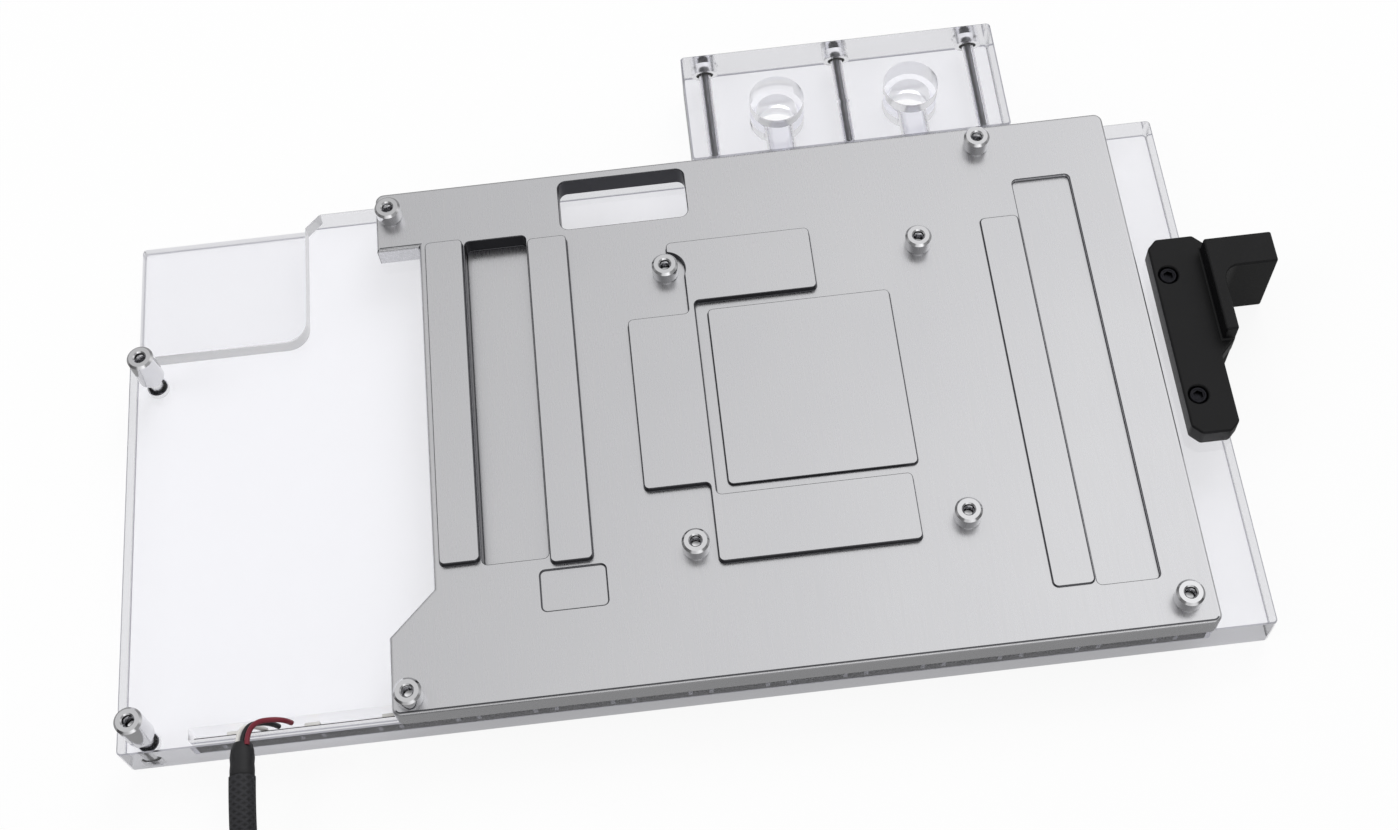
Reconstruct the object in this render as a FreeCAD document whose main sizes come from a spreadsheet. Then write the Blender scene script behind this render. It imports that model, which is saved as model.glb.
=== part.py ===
import FreeCAD, Part
import math
import os
import re

import Sketcher
from FreeCAD import Placement, Rotation, Vector

# Full-cover liquid cooling block for a graphics card, lying on its clear cover.
# X runs along the block, Y towards the hose ports, Z up through the contact side.
# The origin is on the resting face, straight under the centre of the core pad.

doc = FreeCAD.newDocument("cooling_block")
sheet = doc.addObject("Spreadsheet::Sheet", "sizes")

# Driving dimensions, in millimetres
SIZES = {
    # Stack
    "cover_thickness": 10.5,  # clear cover
    "plate_thickness": 5.5,  # metal plate
    "stand_off_height": 4.0,  # stand-off above the plate

    # Clear cover outline
    "cover_reach_left": 155.2,  # core centre to the cover's left end
    "cover_length": 245.8,  # clear cover along X
    "cover_reach_front": 65.6,  # core centre to the cover's front edge
    "cover_width": 130.0,  # clear cover along Y
    "cover_corner": 1.0,  # corner radius
    "step_length": 41.2,  # corner step along X
    "step_width": 34.4,  # corner step along Y
    "step_jog": 3.4,  # corner step, slanted jog
    "step_radius": 5.0,  # corner step, inner radius
    "step_floor": 3.5,  # web left under the corner step
    "overcut": 1.0,  # how far a cut runs past the outline

    # Metal plate outline
    "plate_inset_left": 59.2,  # cover's left end to the plate's ears
    "ear_depth": 9.9,  # ears past the plate's waist
    "plate_inset_right": 12.6,  # cover's right end to the plate
    "plate_lip": 0.3,  # plate past the cover's front edge
    "plate_inset_back": 0.1,  # cover's back edge to the plate
    "ear_back_width": 15.9,  # back ear along Y
    "ear_front_width": 27.5,  # front ear along Y with its slanted side
    "plate_corner": 2.0,  # corner radius
    "window_shift": 52.6,  # core centre to the window's left side
    "window_length": 30.1,  # window along X
    "window_width": 13.5,  # window along Y
    "window_inset": 2.3,  # plate's back edge to the window
    "window_corner": 2.0,  # window corner radius

    # Contact pads
    "core_pad_width": 41.6,  # core pad along X
    "core_pad_length": 44.4,  # core pad along Y
    "core_pad_rise": 0.8,  # core pad above the plate
    "memory_rise": 1.5,  # memory land above the plate
    "memory_horn_left": -28.6,  # memory land, tip behind the back stand-off
    "memory_back_left": -25.0,  # memory land, back arm's left side
    "memory_back_right": 4.7,  # memory land, back arm's end
    "memory_back_front": 24.5,  # memory land, back arm's front side
    "memory_back_back": 40.7,  # memory land, back arm's back side
    "memory_side_left": -39.1,  # memory land, side arm's left side
    "memory_side_right": -23.6,  # memory land, wall beside the core pad
    "memory_side_reach": 21.4,  # memory land, side arm's half length
    "memory_front_left": -24.7,  # memory land, front arm's left side
    "memory_front_right": 19.0,  # memory land, front arm's end
    "memory_front_front": -40.2,  # memory land, front arm's front side
    "memory_front_back": -24.5,  # memory land, front arm's back side
    "pad_relief": 4.6,  # memory land cut back round a stand-off, radius

    # Strips for the power stage
    "choke_inset": 1.6,  # plate's waist to the outer strip
    "choke_width": 9.1,  # outer strip along X
    "trench_width": 14.4,  # deep trench along X
    "strip_width": 9.5,  # inner strip along X
    "choke_start": 32.3,  # plate's front edge to the outer strip
    "trench_start": 31.7,  # plate's front edge to the trench
    "strip_start": 29.9,  # plate's front edge to the inner strip
    "strip_length": 82.2,  # inner strip along Y
    "trench_length": 82.4,  # deep trench along Y
    "strip_rise": 1.5,  # raised strips
    "trench_depth": 4.2,  # deep trench
    "box_left": -63.3,  # small shallow box
    "box_right": -49.0,  # small shallow box
    "box_front": -46.5,  # small shallow box
    "box_back": -37.0,  # small shallow box
    "box_depth": 0.4,  # small shallow box
    "rail_inset": 33.5,  # plate's right edge to the rail
    "rail_width": 8.8,  # right raised rail along X
    "rail_start": 11.7,  # plate's front edge to the rail
    "rail_length": 92.6,  # right raised rail along Y
    "rail_rise": 0.4,  # right raised rail
    "valley_inset": 10.8,  # plate's right edge to the valley
    "valley_start": 11.2,  # plate's front edge to the valley
    "valley_length": 102.9,  # right shallow valley along Y
    "valley_depth": 1.0,  # right shallow valley
    "strip_corner": 1.2,  # corner radius of pads and strips
    "strip_gap": 0.4,  # raised strip to the pocket beside it

    # Cooling fins under the core
    "fin_field_width": 34.0,  # finned field along X
    "fin_field_length": 34.0,  # finned field along Y
    "fin_slot": 0.6,  # slot between two fins
    "fin_pitch": 1.25,  # fin to fin
    "fin_depth": 3.0,  # slot depth

    # Coolant chamber in the cover
    "chamber_left": -30.0,  # chamber
    "chamber_right": 42.0,  # chamber
    "chamber_front": -34.0,  # chamber
    "chamber_back": 34.0,  # chamber
    "chamber_corner": 5.0,  # chamber corner radius
    "chamber_depth": 5.0,  # chamber
    "island_half": 18.0,  # island round the inlet, half width
    "island_front": -9.0,  # island round the inlet
    "inlet_half": 15.0,  # inlet pocket over the jet plate, half width
    "inlet_reach": 5.0,  # inlet pocket over the jet plate, half length
    "runner_width": 11.0,  # runner from a port
    "runner_depth": 7.0,  # runner from a port
    "runner_inset": 5.5,  # main seal to the runners' ends
    "outlet_start": 19.0,  # front end of the outlet runner
    "runner_corner": 3.0,  # runner corner radius
    "jet_width": 35.0,  # jet plate along X
    "jet_length": 30.0,  # jet plate along Y
    "jet_shift": 2.0,  # jet plate centre behind the core centre
    "slit_shift": 11.0,  # slit centre behind the core centre
    "jet_thickness": 1.0,  # jet plate
    "jet_slit_length": 28.0,  # slit in the jet plate
    "jet_slit_width": 1.6,  # slit in the jet plate
    "jet_clearance": 0.2,  # gap round the jet plate
    "seal_left": -36.0,  # main seal, centre line
    "seal_right": 48.0,  # main seal, centre line
    "seal_front": -40.0,  # main seal, centre line
    "seal_inset": 6.9,  # cover's back edge to the main seal
    "seal_notch": 15.5,  # main seal's step round the window
    "seal_neck": -12.0,  # main seal, neck beside the window
    "seal_corner": 6.0,  # main seal, corner radius
    "seal_width": 1.8,  # main seal
    "seal_depth": 1.5,  # main seal
    "groove_play": 0.15,  # seal to groove wall

    # Terminal with the hose ports
    "terminal_centre": 18.4,  # centre along X
    "terminal_width": 76.6,  # length along X
    "terminal_depth": 30.7,  # depth along Y
    "terminal_height": 15.5,  # height
    "terminal_corner": 1.0,  # corner radius
    "port_spacing": 32.7,  # port to port
    "port_setback": 15.1,  # port axis from the cover
    "port_thread": 13.16,  # port thread, quarter inch pipe
    "port_thread_length": 5.0,  # port thread
    "port_bore": 10.0,  # bore between the two threads
    "channel_width": 7.0,  # channel to the cover
    "channel_height": 4.6,  # channel to the cover
    "channel_corner": 2.0,  # channel corner radius
    "channel_overlap": 2.0,  # how far the channel runs into its runner
    "ring_width": 1.4,  # port seal
    "ring_depth": 1.2,  # port seal
    "ring_offset": 0.6,  # channel wall to the port seal
    "terminal_screw_spacing": 32.7,  # terminal screws
    "terminal_screw_level": 7.0,  # terminal screw axis above the resting face
    "terminal_screw_length": 38.0,  # terminal screw under its head
    "screw_thread": 2.5,  # small screws, thread
    "screw_head": 4.4,  # small screws, head
    "screw_head_height": 2.4,  # small screws, head
    "screw_key": 2.0,  # hexagon socket across flats
    "screw_key_depth": 1.3,  # hexagon socket
    "counterbore": 6.4,  # terminal screw counterbore
    "screw_clearance": 0.2,  # clearance hole, each side
    "thread_clearance": 0.02,  # thread play, each side
    "hole_play": 0.3,  # blind hole past the end of its screw or stub
    "head_sink": 0.3,  # screw head below its surface
    "screw_round": 0.2,  # bevel on a screw head

    # Screws that hold the cover to the plate
    "cover_screw_grip": 4.0,  # screw in the plate
    "cover_screw_sink": 2.6,  # counterbore from the resting face
    "screw_outset": 7.0,  # screw outside the seal, left and front
    "screw_outset_right": 6.0,  # screw outside the seal, right
    "screw_neck": 5.5,  # screw beside the seal's shoulder
    "screw_inset_left": 14.0,  # front screw from the seal's left end
    "screw_inset_right": 14.0,  # front screw from the seal's right end
    "screw_waist": 5.0,  # screw from the plate's left edge
    "screw_ear": 6.0,  # screw in front of the back ear
    "screw_right": 5.0,  # corner screw from the right edge
    "screw_back": 8.0,  # corner screw from the back edge

    # Stand-offs
    "stand_off_width": 6.0,  # across the round body
    "stand_off_stub": 4.0,  # threaded stub
    "stand_off_stub_length": 3.2,  # threaded stub
    "stand_off_hole": 2.5,  # threaded hole for the card screws
    "stand_off_hole_depth": 3.9,  # threaded hole
    "stand_off_edge": 0.5,  # chamfer at the top
    "core_spacing_x": 58.6,  # core stand-offs
    "core_spacing_y": 69.4,  # core stand-offs
    "core_offset_y": -1.1,  # core stand-offs, pattern centre
    "back_left_inset_x": 3.4,  # back left stand-off from the plate's edge
    "back_left_inset_y": 6.5,  # back left stand-off from the plate's edge
    "back_right_x": 47.1,  # plate stand-off
    "back_right_inset_y": 5.3,  # back right stand-off from the plate's edge
    "front_right_inset_x": 6.4,  # front right stand-off from the plate's edge
    "front_right_inset_y": 5.8,  # front right stand-off from the plate's edge
    "front_left_inset_x": 4.0,  # front left stand-off from the plate's edge
    "front_left_inset_y": 3.9,  # front left stand-off from the plate's edge
    "end_inset": 5.2,  # cover stand-offs from the left end
    "end_spacing": 86.2,  # cover stand-off to cover stand-off
    "end_front_inset": 4.1,  # front cover stand-off from the edge
    "end_screw_length": 12.0,  # cover stand-off screw under its head
    "end_hole_depth": 4.6,  # threaded hole for the card screw in a cover stand-off

    # Card support bracket
    "bar_gap": 3.3,  # plate edge to the bar
    "bar_width": 10.7,  # bar
    "bar_front": -22.4,  # bar
    "bar_length": 50.4,  # bar along Y
    "bar_height": 5.0,  # bar
    "bar_chamfer": 2.2,  # bar corners
    "rib_start": 0.9,  # bar edge to the rib
    "rib_width": 2.9,  # rib
    "rib_front": 0.2,  # rib
    "rib_ramp": 3.8,  # lower slanted end of the rib
    "arm_front": 16.3,  # arm
    "arm_width": 7.8,  # arm along Y
    "arm_length": 17.8,  # arm past the cover's right end
    "arm_fillet": 3.5,  # arm to rib
    "bracket_screw_line": 3.2,  # screws from the bar edge
    "bracket_screw_back": 18.3,  # back screw
    "bracket_screw_front": -12.7,  # front screw
    "bracket_head": 4.0,  # bracket screw head
    "bracket_sink": 2.0,  # bracket screw counterbore
    "bracket_screw_grip": 5.0,  # bracket screw in the cover

    # Light strip in the front edge of the cover
    "slot_wall": 1.6,  # cover wall in front of the strip
    "slot_width": 2.6,  # slot
    "slot_depth": 6.0,  # slot
    "slot_inset": 15.2,  # cover's left end to the slot
    "slot_stop": 13.6,  # slot's right end to the cover's right end
    "board_play": 1.0,  # strip board short of the slot at each end
    "board_height": 5.0,  # strip board
    "board_thickness": 0.4,  # strip board
    "chip_width": 3.2,  # light chip
    "chip_height": 2.8,  # light chip
    "chip_depth": 1.2,  # light chip
    "chip_pitch": 16.5,  # chip to chip
    "wire_width": 1.15,  # insulated wire
    "wire_offset": 4.0,  # white wire on the strip board from the sleeve's axis
    "wire_step": 3.0,  # wire to wire on the strip board
    "wire_rise": 3.2,  # wire end below its level at the sleeve
    "wire_crest": 0.5,  # wire bend above its level at the sleeve
    "wire_lean": 1.2,  # wire bend towards the sleeve
    "wire_gap": 0.2,  # gap between two wires
    "sleeve_width": 5.2,  # shrink sleeve
    "sleeve_length": 7.4,  # shrink sleeve
    "sleeve_level": 12.4,  # shrink sleeve axis above the resting face
    "sleeve_inset": 27.2,  # cover's left end to the shrink sleeve's axis
    "sleeve_gap": 1.0,  # cover edge to the shrink sleeve
    "lead_width": 5.6,  # round lead
    "lead_run": 10.0,  # straight run out of the sleeve
    "lead_knee_shift": 0.6,  # lead bend from the sleeve's axis
    "lead_knee_reach": 31.4,  # lead bend from the cover's front edge
    "lead_knee_level": 4.4,  # lead bend above the floor
    "lead_end_shift": 1.2,  # lead end from the sleeve's axis
    "lead_end_reach": 43.8,  # lead end from the cover's front edge
    "lead_end_level": 3.3,  # lead end at the coil
    "coil_radius": 31.0,  # middle of the coiled turns
    "coil_turns": 2,  # turns side by side
    "coil_shift": 31.5,  # coil centre from the sleeve's axis
    "coil_reach": 65.4,  # coil centre from the cover's front edge
    "plug_length": 18.0,  # connector
    "plug_width": 9.5,  # connector
    "plug_height": 6.6,  # connector
    "plug_setback": 18.6,  # connector axis from the coil centre
    "plug_socket": 5.0,  # connector mouth
    "plug_wall": 1.0,  # connector wall
    "plug_latch": 3.8,  # width of the connector's latch
    "pin_width": 0.7,  # contact pin
    "pin_pitch": 2.5,  # contact pins
}

for row, (name, number) in enumerate(SIZES.items(), 1):
    sheet.set("A%d" % row, name)
    sheet.set("B%d" % row, str(number))
    sheet.setAlias("B%d" % row, name)
doc.recompute()

WORD = re.compile(r"[a-z_]+")
PLACES = {}


def full(expression):
    """The expression with each size written as a cell of the sheet and each place as its formula."""
    def cell(match):
        word = match.group()
        if word in PLACES:
            return PLACES[word]
        return "sizes." + word if word in SIZES else word
    return WORD.sub(cell, expression)


def named(name, expression):
    """Names a place that follows from the sizes."""
    PLACES[name] = "(%s)" % full(expression)


def value(expression):
    """The number that an expression of the sizes gives."""
    return float(sheet.evalExpression(full(expression)))


def bind(thing, target, expression):
    """Ties a property of an object to the sizes."""
    thing.setExpression(target, full(expression))


def joined(*terms):
    """A sum of expressions, each in brackets."""
    return " + ".join("(%s)" % term for term in terms)


# Places that follow from the sizes

named("cover_left", "-cover_reach_left")
named("cover_right", "cover_left + cover_length")
named("cover_front", "-cover_reach_front")
named("cover_back", "cover_front + cover_width")
named("step_right", "cover_left + step_length")
named("step_front", "cover_back - step_width")
named("plate_left", "cover_left + plate_inset_left")
named("plate_waist", "plate_left + ear_depth")
named("plate_right", "cover_right - plate_inset_right")
named("plate_front", "cover_front - plate_lip")
named("plate_back", "cover_back - plate_inset_back")
named("ear_front", "plate_back - ear_back_width")
named("ear_slant", "plate_front + ear_front_width")
named("window_left", "-window_shift")
named("window_right", "window_left + window_length")
named("window_back", "plate_back - window_inset")
named("window_front", "window_back - window_width")
named("choke_left", "plate_waist + choke_inset")
named("trench_left", "choke_left + choke_width")
named("trench_right", "trench_left + trench_width")
named("strip_right", "trench_right + strip_width")
named("choke_front", "plate_front + choke_start")
named("trench_front", "plate_front + trench_start")
named("strip_front", "plate_front + strip_start")
named("trench_back", "trench_front + trench_length")
named("strip_back", "strip_front + strip_length")
named("rail_left", "plate_right - rail_inset")
named("rail_right", "rail_left + rail_width")
named("rail_front", "plate_front + rail_start")
named("rail_back", "rail_front + rail_length")
named("valley_right", "plate_right - valley_inset")
named("valley_front", "plate_front + valley_start")
named("valley_back", "valley_front + valley_length")
named("seal_back", "cover_back - seal_inset")
named("seal_shoulder", "seal_back - seal_notch")
named("runner_back", "seal_back - runner_inset")
named("back_left_x", "plate_left + back_left_inset_x")
named("back_left_y", "plate_back - back_left_inset_y")
named("back_right_y", "plate_back - back_right_inset_y")
named("front_right_x", "plate_right - front_right_inset_x")
named("front_right_y", "plate_front + front_right_inset_y")
named("front_left_x", "plate_left + front_left_inset_x")
named("front_left_y", "plate_front + front_left_inset_y")
named("end_x", "cover_left + end_inset")
named("end_front_y", "cover_front + end_front_inset")
named("end_back_y", "end_front_y + end_spacing")
named("bar_back", "bar_front + bar_length")
named("arm_back", "arm_front + arm_width")
named("arm_reach", "cover_right + arm_length")
named("slot_left", "cover_left + slot_inset")
named("slot_right", "cover_right - slot_stop")
named("board_left", "slot_left + board_play")
named("board_right", "slot_right - board_play")
named("sleeve_centre", "cover_left + sleeve_inset")
named("wire_start", "sleeve_centre + wire_offset")
named("lead_knee_x", "sleeve_centre - lead_knee_shift")
named("lead_knee_y", "cover_front - lead_knee_reach")
named("lead_end_x", "sleeve_centre - lead_end_shift")
named("lead_end_y", "cover_front - lead_end_reach")
named("coil_centre_x", "sleeve_centre + coil_shift")
named("coil_centre_y", "cover_front - coil_reach")

TOP = "cover_thickness"
FACE = "cover_thickness + plate_thickness"


# Building blocks

def plane(body, role):
    """One of a body's own origin planes."""
    return [feature for feature in body.Origin.OriginFeatures if feature.Role == role][0]


def new_body(label):
    """An empty body with its label."""
    body = doc.addObject("PartDesign::Body", label)
    body.Label = label
    return body


def new_sketch(body, role="XY_Plane", level="0"):
    """A sketch on an origin plane, moved along the plane's normal by a level."""
    sketch = body.newObject("Sketcher::SketchObject", body.Label + "_sketch")
    sketch.AttachmentSupport = [(plane(body, role), "")]
    sketch.MapMode = "FlatFace"
    bind(sketch, "AttachmentOffset.Base.z", level)
    return sketch


def constrain(sketch, kind, items, expression):
    """Adds one dimension to a sketch and ties it to the sizes."""
    index = sketch.addConstraint(Sketcher.Constraint(kind, *items, value(expression)))
    name = "c%d" % index
    sketch.renameConstraint(index, name)
    bind(sketch, "Constraints." + name, expression)


def pin_point(sketch, geometry, point, x, y):
    """Holds a point of the sketch at x, y."""
    constrain(sketch, "DistanceX", (-1, 1, geometry, point), x)
    constrain(sketch, "DistanceY", (-1, 1, geometry, point), y)


def circle(sketch, x, y, diameter):
    """A circle at x, y."""
    centre = Vector(value(x), value(y), 0)
    ring = sketch.addGeometry(Part.Circle(centre, Vector(0, 0, 1), value(diameter) / 2), False)
    constrain(sketch, "Diameter", (ring,), diameter)
    pin_point(sketch, ring, 3, x, y)


def polygon(sketch, corners):
    """A closed outline of straight sides through corners given as pairs of expressions."""
    points = [Vector(value(x), value(y), 0) for x, y in corners]
    count = len(points)
    lines = []
    for i in range(count):
        lines.append(sketch.addGeometry(Part.LineSegment(points[i], points[(i + 1) % count]), False))
    for i in range(count):
        sketch.addConstraint(Sketcher.Constraint("Coincident", lines[i - 1], 2, lines[i], 1))
        pin_point(sketch, lines[i], 1, *corners[i])


def rounded_loop(sketch, corners, radius):
    """A closed outline of level and upright sides with the same arc at each corner."""
    points = [Vector(value(x), value(y), 0) for x, y in corners]
    count = len(points)
    reach = value(radius)
    along = [(points[(i + 1) % count] - points[i]).normalize() for i in range(count)]
    lines = []
    for i in range(count):
        start = points[i] + along[i] * reach
        end = points[(i + 1) % count] - along[i] * reach
        lines.append(sketch.addGeometry(Part.LineSegment(start, end), False))
    for i in range(count):
        upright = abs(along[i].x) < abs(along[i].y)
        sketch.addConstraint(Sketcher.Constraint("Vertical" if upright else "Horizontal", lines[i]))
        if upright:
            constrain(sketch, "DistanceX", (-1, 1, lines[i], 1), corners[i][0])
        else:
            constrain(sketch, "DistanceY", (-1, 1, lines[i], 1), corners[i][1])
    for i in range(count):
        before, after = along[i - 1], along[i]
        start = points[i] - before * reach
        end = points[i] + after * reach
        centre = points[i] - before * reach + after * reach
        middle = centre + (points[i] - centre).normalize() * reach
        left_turn = before.cross(after).z > 0
        bend = sketch.addGeometry(Part.Arc(start, middle, end), False)
        first, last = (1, 2) if left_turn else (2, 1)
        sketch.addConstraint(Sketcher.Constraint("Tangent", lines[i - 1], 2, bend, first))
        sketch.addConstraint(Sketcher.Constraint("Tangent", bend, last, lines[i], 1))
        constrain(sketch, "Radius", (bend,), radius)


def box_corners(left, right, front, back):
    """The four corners of a rectangle, counter-clockwise."""
    return [(left, front), (right, front), (right, back), (left, back)]


def pad(body, sketch, length, reverse=False):
    """Raises a sketch into a solid."""
    feature = body.newObject("PartDesign::Pad", body.Label + "_pad")
    feature.Profile = sketch
    feature.Reversed = reverse
    bind(feature, "Length", length)
    return feature


def pocket(body, sketch, depth, reverse=False):
    """Cuts a sketch into the body, against the sketch's normal unless reversed."""
    feature = body.newObject("PartDesign::Pocket", body.Label + "_pocket")
    feature.Profile = sketch
    feature.Reversed = reverse
    bind(feature, "Length", depth)
    return feature


def chosen_edges(body, test):
    """The names of the body's edges that pass a test."""
    doc.recompute()
    return ["Edge%d" % (i + 1) for i, edge in enumerate(body.Shape.Edges) if test(edge)]


def upright_at(places):
    """A test for upright edges that stand at one of some x, y places."""
    spots = [(value(x), value(y)) for x, y in places]

    def test(edge):
        low, high = edge.BoundBox.ZMin, edge.BoundBox.ZMax
        if high - low < 0.5 or edge.BoundBox.XLength > 0.01 or edge.BoundBox.YLength > 0.01:
            return False
        x, y = edge.BoundBox.Center.x, edge.BoundBox.Center.y
        return any(abs(x - a) < 0.02 and abs(y - b) < 0.02 for a, b in spots)
    return test


def fillet(body, test, radius):
    """Rounds the edges that pass a test."""
    edges = chosen_edges(body, test)
    base = body.Tip
    feature = body.newObject("PartDesign::Fillet", body.Label + "_fillet")
    feature.Base = (base, edges)
    bind(feature, "Radius", radius)
    return feature


def chamfer(body, test, width):
    """Bevels the edges that pass a test."""
    edges = chosen_edges(body, test)
    base = body.Tip
    feature = body.newObject("PartDesign::Chamfer", body.Label + "_chamfer")
    feature.Base = (base, edges)
    bind(feature, "Size", width)
    return feature


def turned(label, profile):
    """A body turned about Z from a closed outline of radius and height."""
    body = new_body(label)
    sketch = new_sketch(body, "XZ_Plane")
    polygon(sketch, profile)
    feature = body.newObject("PartDesign::Revolution", label + "_turn")
    feature.Profile = sketch
    feature.ReferenceAxis = (sketch, ["V_Axis"])
    feature.Angle = 360
    return body


def place(thing, x, y, z, turn=None):
    """Sets where a piece stands, tied to the sizes."""
    thing.Placement = Placement(Vector(value(x), value(y), value(z)), turn or Rotation())
    bind(thing, "Placement.Base.x", x)
    bind(thing, "Placement.Base.y", y)
    bind(thing, "Placement.Base.z", z)


def group(label, pieces):
    """Several like pieces kept as one sub-part."""
    compound = doc.addObject("Part::Compound", label)
    compound.Label = label
    compound.Links = pieces
    return compound


PARTS = []


# The metal plate

def raised_pad(body, corners, rise):
    """A pad with rounded corners on the plate's main face."""
    sketch = new_sketch(body, level=FACE)
    rounded_loop(sketch, corners, "strip_corner")
    pad(body, sketch, rise)


def sunk_pad(body, corners, depth, radius="strip_corner"):
    """A pocket with rounded corners in the plate's main face."""
    sketch = new_sketch(body, level=FACE)
    rounded_loop(sketch, corners, radius)
    pocket(body, sketch, depth)


def core_spots():
    """Where the four core stand-offs are."""
    spots = []
    for side in ("-", ""):
        for end in ("-", ""):
            spots.append((side + "core_spacing_x / 2", "core_offset_y + %score_spacing_y / 2" % end))
    return spots


CORE_SPOTS = core_spots()
PLATE_SPOTS = [
    ("back_left_x", "back_left_y"),
    ("back_right_x", "back_right_y"),
    ("front_right_x", "front_right_y"),
    ("front_left_x", "front_left_y"),
]
END_SPOTS = [("end_x", "end_back_y"), ("end_x", "end_front_y")]
# The cover screws stand round the main seal and along the plate's edges
COVER_SCREWS = [
    ("seal_left - screw_outset", "seal_back / 3"),
    ("seal_left - screw_outset", "seal_front / 2"),
    ("seal_right + screw_outset_right", "seal_back / 2"),
    ("seal_right + screw_outset_right", "seal_front / 2"),
    ("seal_neck - screw_neck", "seal_shoulder + screw_neck"),
    ("seal_left + screw_inset_left", "seal_front - screw_outset"),
    ("seal_right - screw_inset_right", "seal_front - screw_outset"),
    ("plate_waist + screw_waist", "ear_front - screw_ear"),
    ("plate_waist + screw_waist", "ear_slant"),
    ("plate_right - screw_right", "plate_back - screw_back"),
]
SLOT_BACK = "cover_front + slot_wall + slot_width"


def plate_outline(sketch):
    """The plate's outline with its two ears and the slanted side."""
    polygon(sketch, [
        ("plate_left", "plate_front"),
        ("plate_right", "plate_front"),
        ("plate_right", "plate_back"),
        ("plate_left", "plate_back"),
        ("plate_left", "ear_front"),
        ("plate_waist", "ear_front"),
        ("plate_waist", "ear_slant"),
        ("plate_left", "ear_slant - plate_waist + plate_left"),
    ])


def make_memory_land(body):
    """The land for the memory chips: three joined arms round the core, cut back round two stand-offs."""
    front_spot, back_spot = CORE_SPOTS[0], CORE_SPOTS[1]
    raised_pad(body, [
        ("memory_front_left", "memory_front_front"),
        ("memory_front_right", "memory_front_front"),
        ("memory_front_right", "memory_front_back"),
        ("memory_side_right", "memory_front_back"),
        ("memory_side_right", "memory_back_front"),
        ("memory_back_right", "memory_back_front"),
        ("memory_back_right", "memory_back_back"),
        ("memory_horn_left", "memory_back_back"),
        ("memory_horn_left", back_spot[1]),
        ("memory_back_left", back_spot[1]),
        ("memory_back_left", "memory_side_reach"),
        ("memory_side_left", "memory_side_reach"),
        ("memory_side_left", "-memory_side_reach"),
        ("memory_front_left", "-memory_side_reach"),
    ], "memory_rise")
    sketch = new_sketch(body, level=FACE)
    for x, y in (front_spot, back_spot):
        circle(sketch, x, y, "pad_relief * 2")
    pocket(body, sketch, "memory_rise", reverse=True)


def make_plate():
    """The nickel-plated plate: pads on the card side and fins on the coolant side."""
    body = new_body("cold_plate")
    sketch = new_sketch(body, level=TOP)
    plate_outline(sketch)
    pad(body, sketch, "plate_thickness")
    corners = [("plate_left", "plate_front"), ("plate_right", "plate_front"),
               ("plate_right", "plate_back"), ("plate_left", "plate_back")]
    fillet(body, upright_at(corners), "plate_corner")
    sketch = new_sketch(body, level=FACE)
    window = box_corners("window_left", "window_right", "window_front", "window_back")
    rounded_loop(sketch, window, "window_corner")
    pocket(body, sketch, "plate_thickness")
    make_memory_land(body)
    raised_pad(body, box_corners("-core_pad_width / 2", "core_pad_width / 2",
                                 "-core_pad_length / 2", "core_pad_length / 2"), "core_pad_rise")
    raised_pad(body, box_corners("choke_left", "trench_left - strip_gap",
                                 "choke_front", "trench_back"), "strip_rise")
    raised_pad(body, box_corners("trench_right + strip_gap", "strip_right",
                                 "strip_front", "strip_back"), "strip_rise")
    raised_pad(body, box_corners("rail_left", "rail_right", "rail_front", "rail_back"), "rail_rise")
    sunk_pad(body, box_corners("trench_left", "trench_right", "trench_front", "trench_back"), "trench_depth")
    sunk_pad(body, box_corners("box_left", "box_right", "box_front", "box_back"), "box_depth")
    sunk_pad(body, box_corners("rail_right + strip_gap", "valley_right",
                               "valley_front", "valley_back"), "valley_depth")
    sketch = new_sketch(body, level=FACE)
    for x, y in CORE_SPOTS + PLATE_SPOTS:
        circle(sketch, x, y, "stand_off_stub + 2 * thread_clearance")
    pocket(body, sketch, "stand_off_stub_length + hole_play")
    sketch = new_sketch(body, level=TOP)
    for x, y in COVER_SCREWS:
        circle(sketch, x, y, "screw_thread + 2 * thread_clearance")
    pocket(body, sketch, "cover_screw_grip + hole_play", reverse=True)
    make_fins(body)
    return body


def make_fins(body):
    """The finned field: one slot cut and repeated across the field."""
    edge = "-fin_field_width / 2"
    sketch = new_sketch(body, level=TOP)
    polygon(sketch, box_corners(edge, joined(edge, "fin_slot"),
                                "-fin_field_length / 2", "fin_field_length / 2"))
    slot = pocket(body, sketch, "fin_depth", reverse=True)
    doc.recompute()
    pattern = body.newObject("PartDesign::LinearPattern", "fin_pattern")
    pattern.Originals = [slot]
    pattern.Direction = (sketch, ["H_Axis"])
    count = int((value("fin_field_width - fin_slot")) / value("fin_pitch")) + 1
    pattern.Occurrences = count
    pattern.Length = (count - 1) * value("fin_pitch")
    body.Tip = pattern


PARTS.append(make_plate())


# The clear cover

PORTS = ["terminal_centre - port_spacing / 2", "terminal_centre + port_spacing / 2"]
TERMINAL_SCREWS = [
    "terminal_centre - terminal_screw_spacing",
    "terminal_centre",
    "terminal_centre + terminal_screw_spacing",
]
CHANNEL_LEVEL = "cover_thickness / 2"
BAR_LEFT = "plate_right + bar_gap"
BRACKET_SCREWS = [
    (joined(BAR_LEFT, "bracket_screw_line"), "bracket_screw_back"),
    (joined(BAR_LEFT, "bracket_screw_line"), "bracket_screw_front"),
]


def seal_line(shift):
    """The main seal's outline, moved outwards by a shift."""
    left, right = "seal_left - (%s)" % shift, "seal_right + (%s)" % shift
    front, back = "seal_front - (%s)" % shift, "seal_back + (%s)" % shift
    neck, shoulder = "seal_neck - (%s)" % shift, "seal_shoulder + (%s)" % shift
    return [(left, front), (right, front), (right, back), (neck, back), (neck, shoulder), (left, shoulder)]


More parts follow.
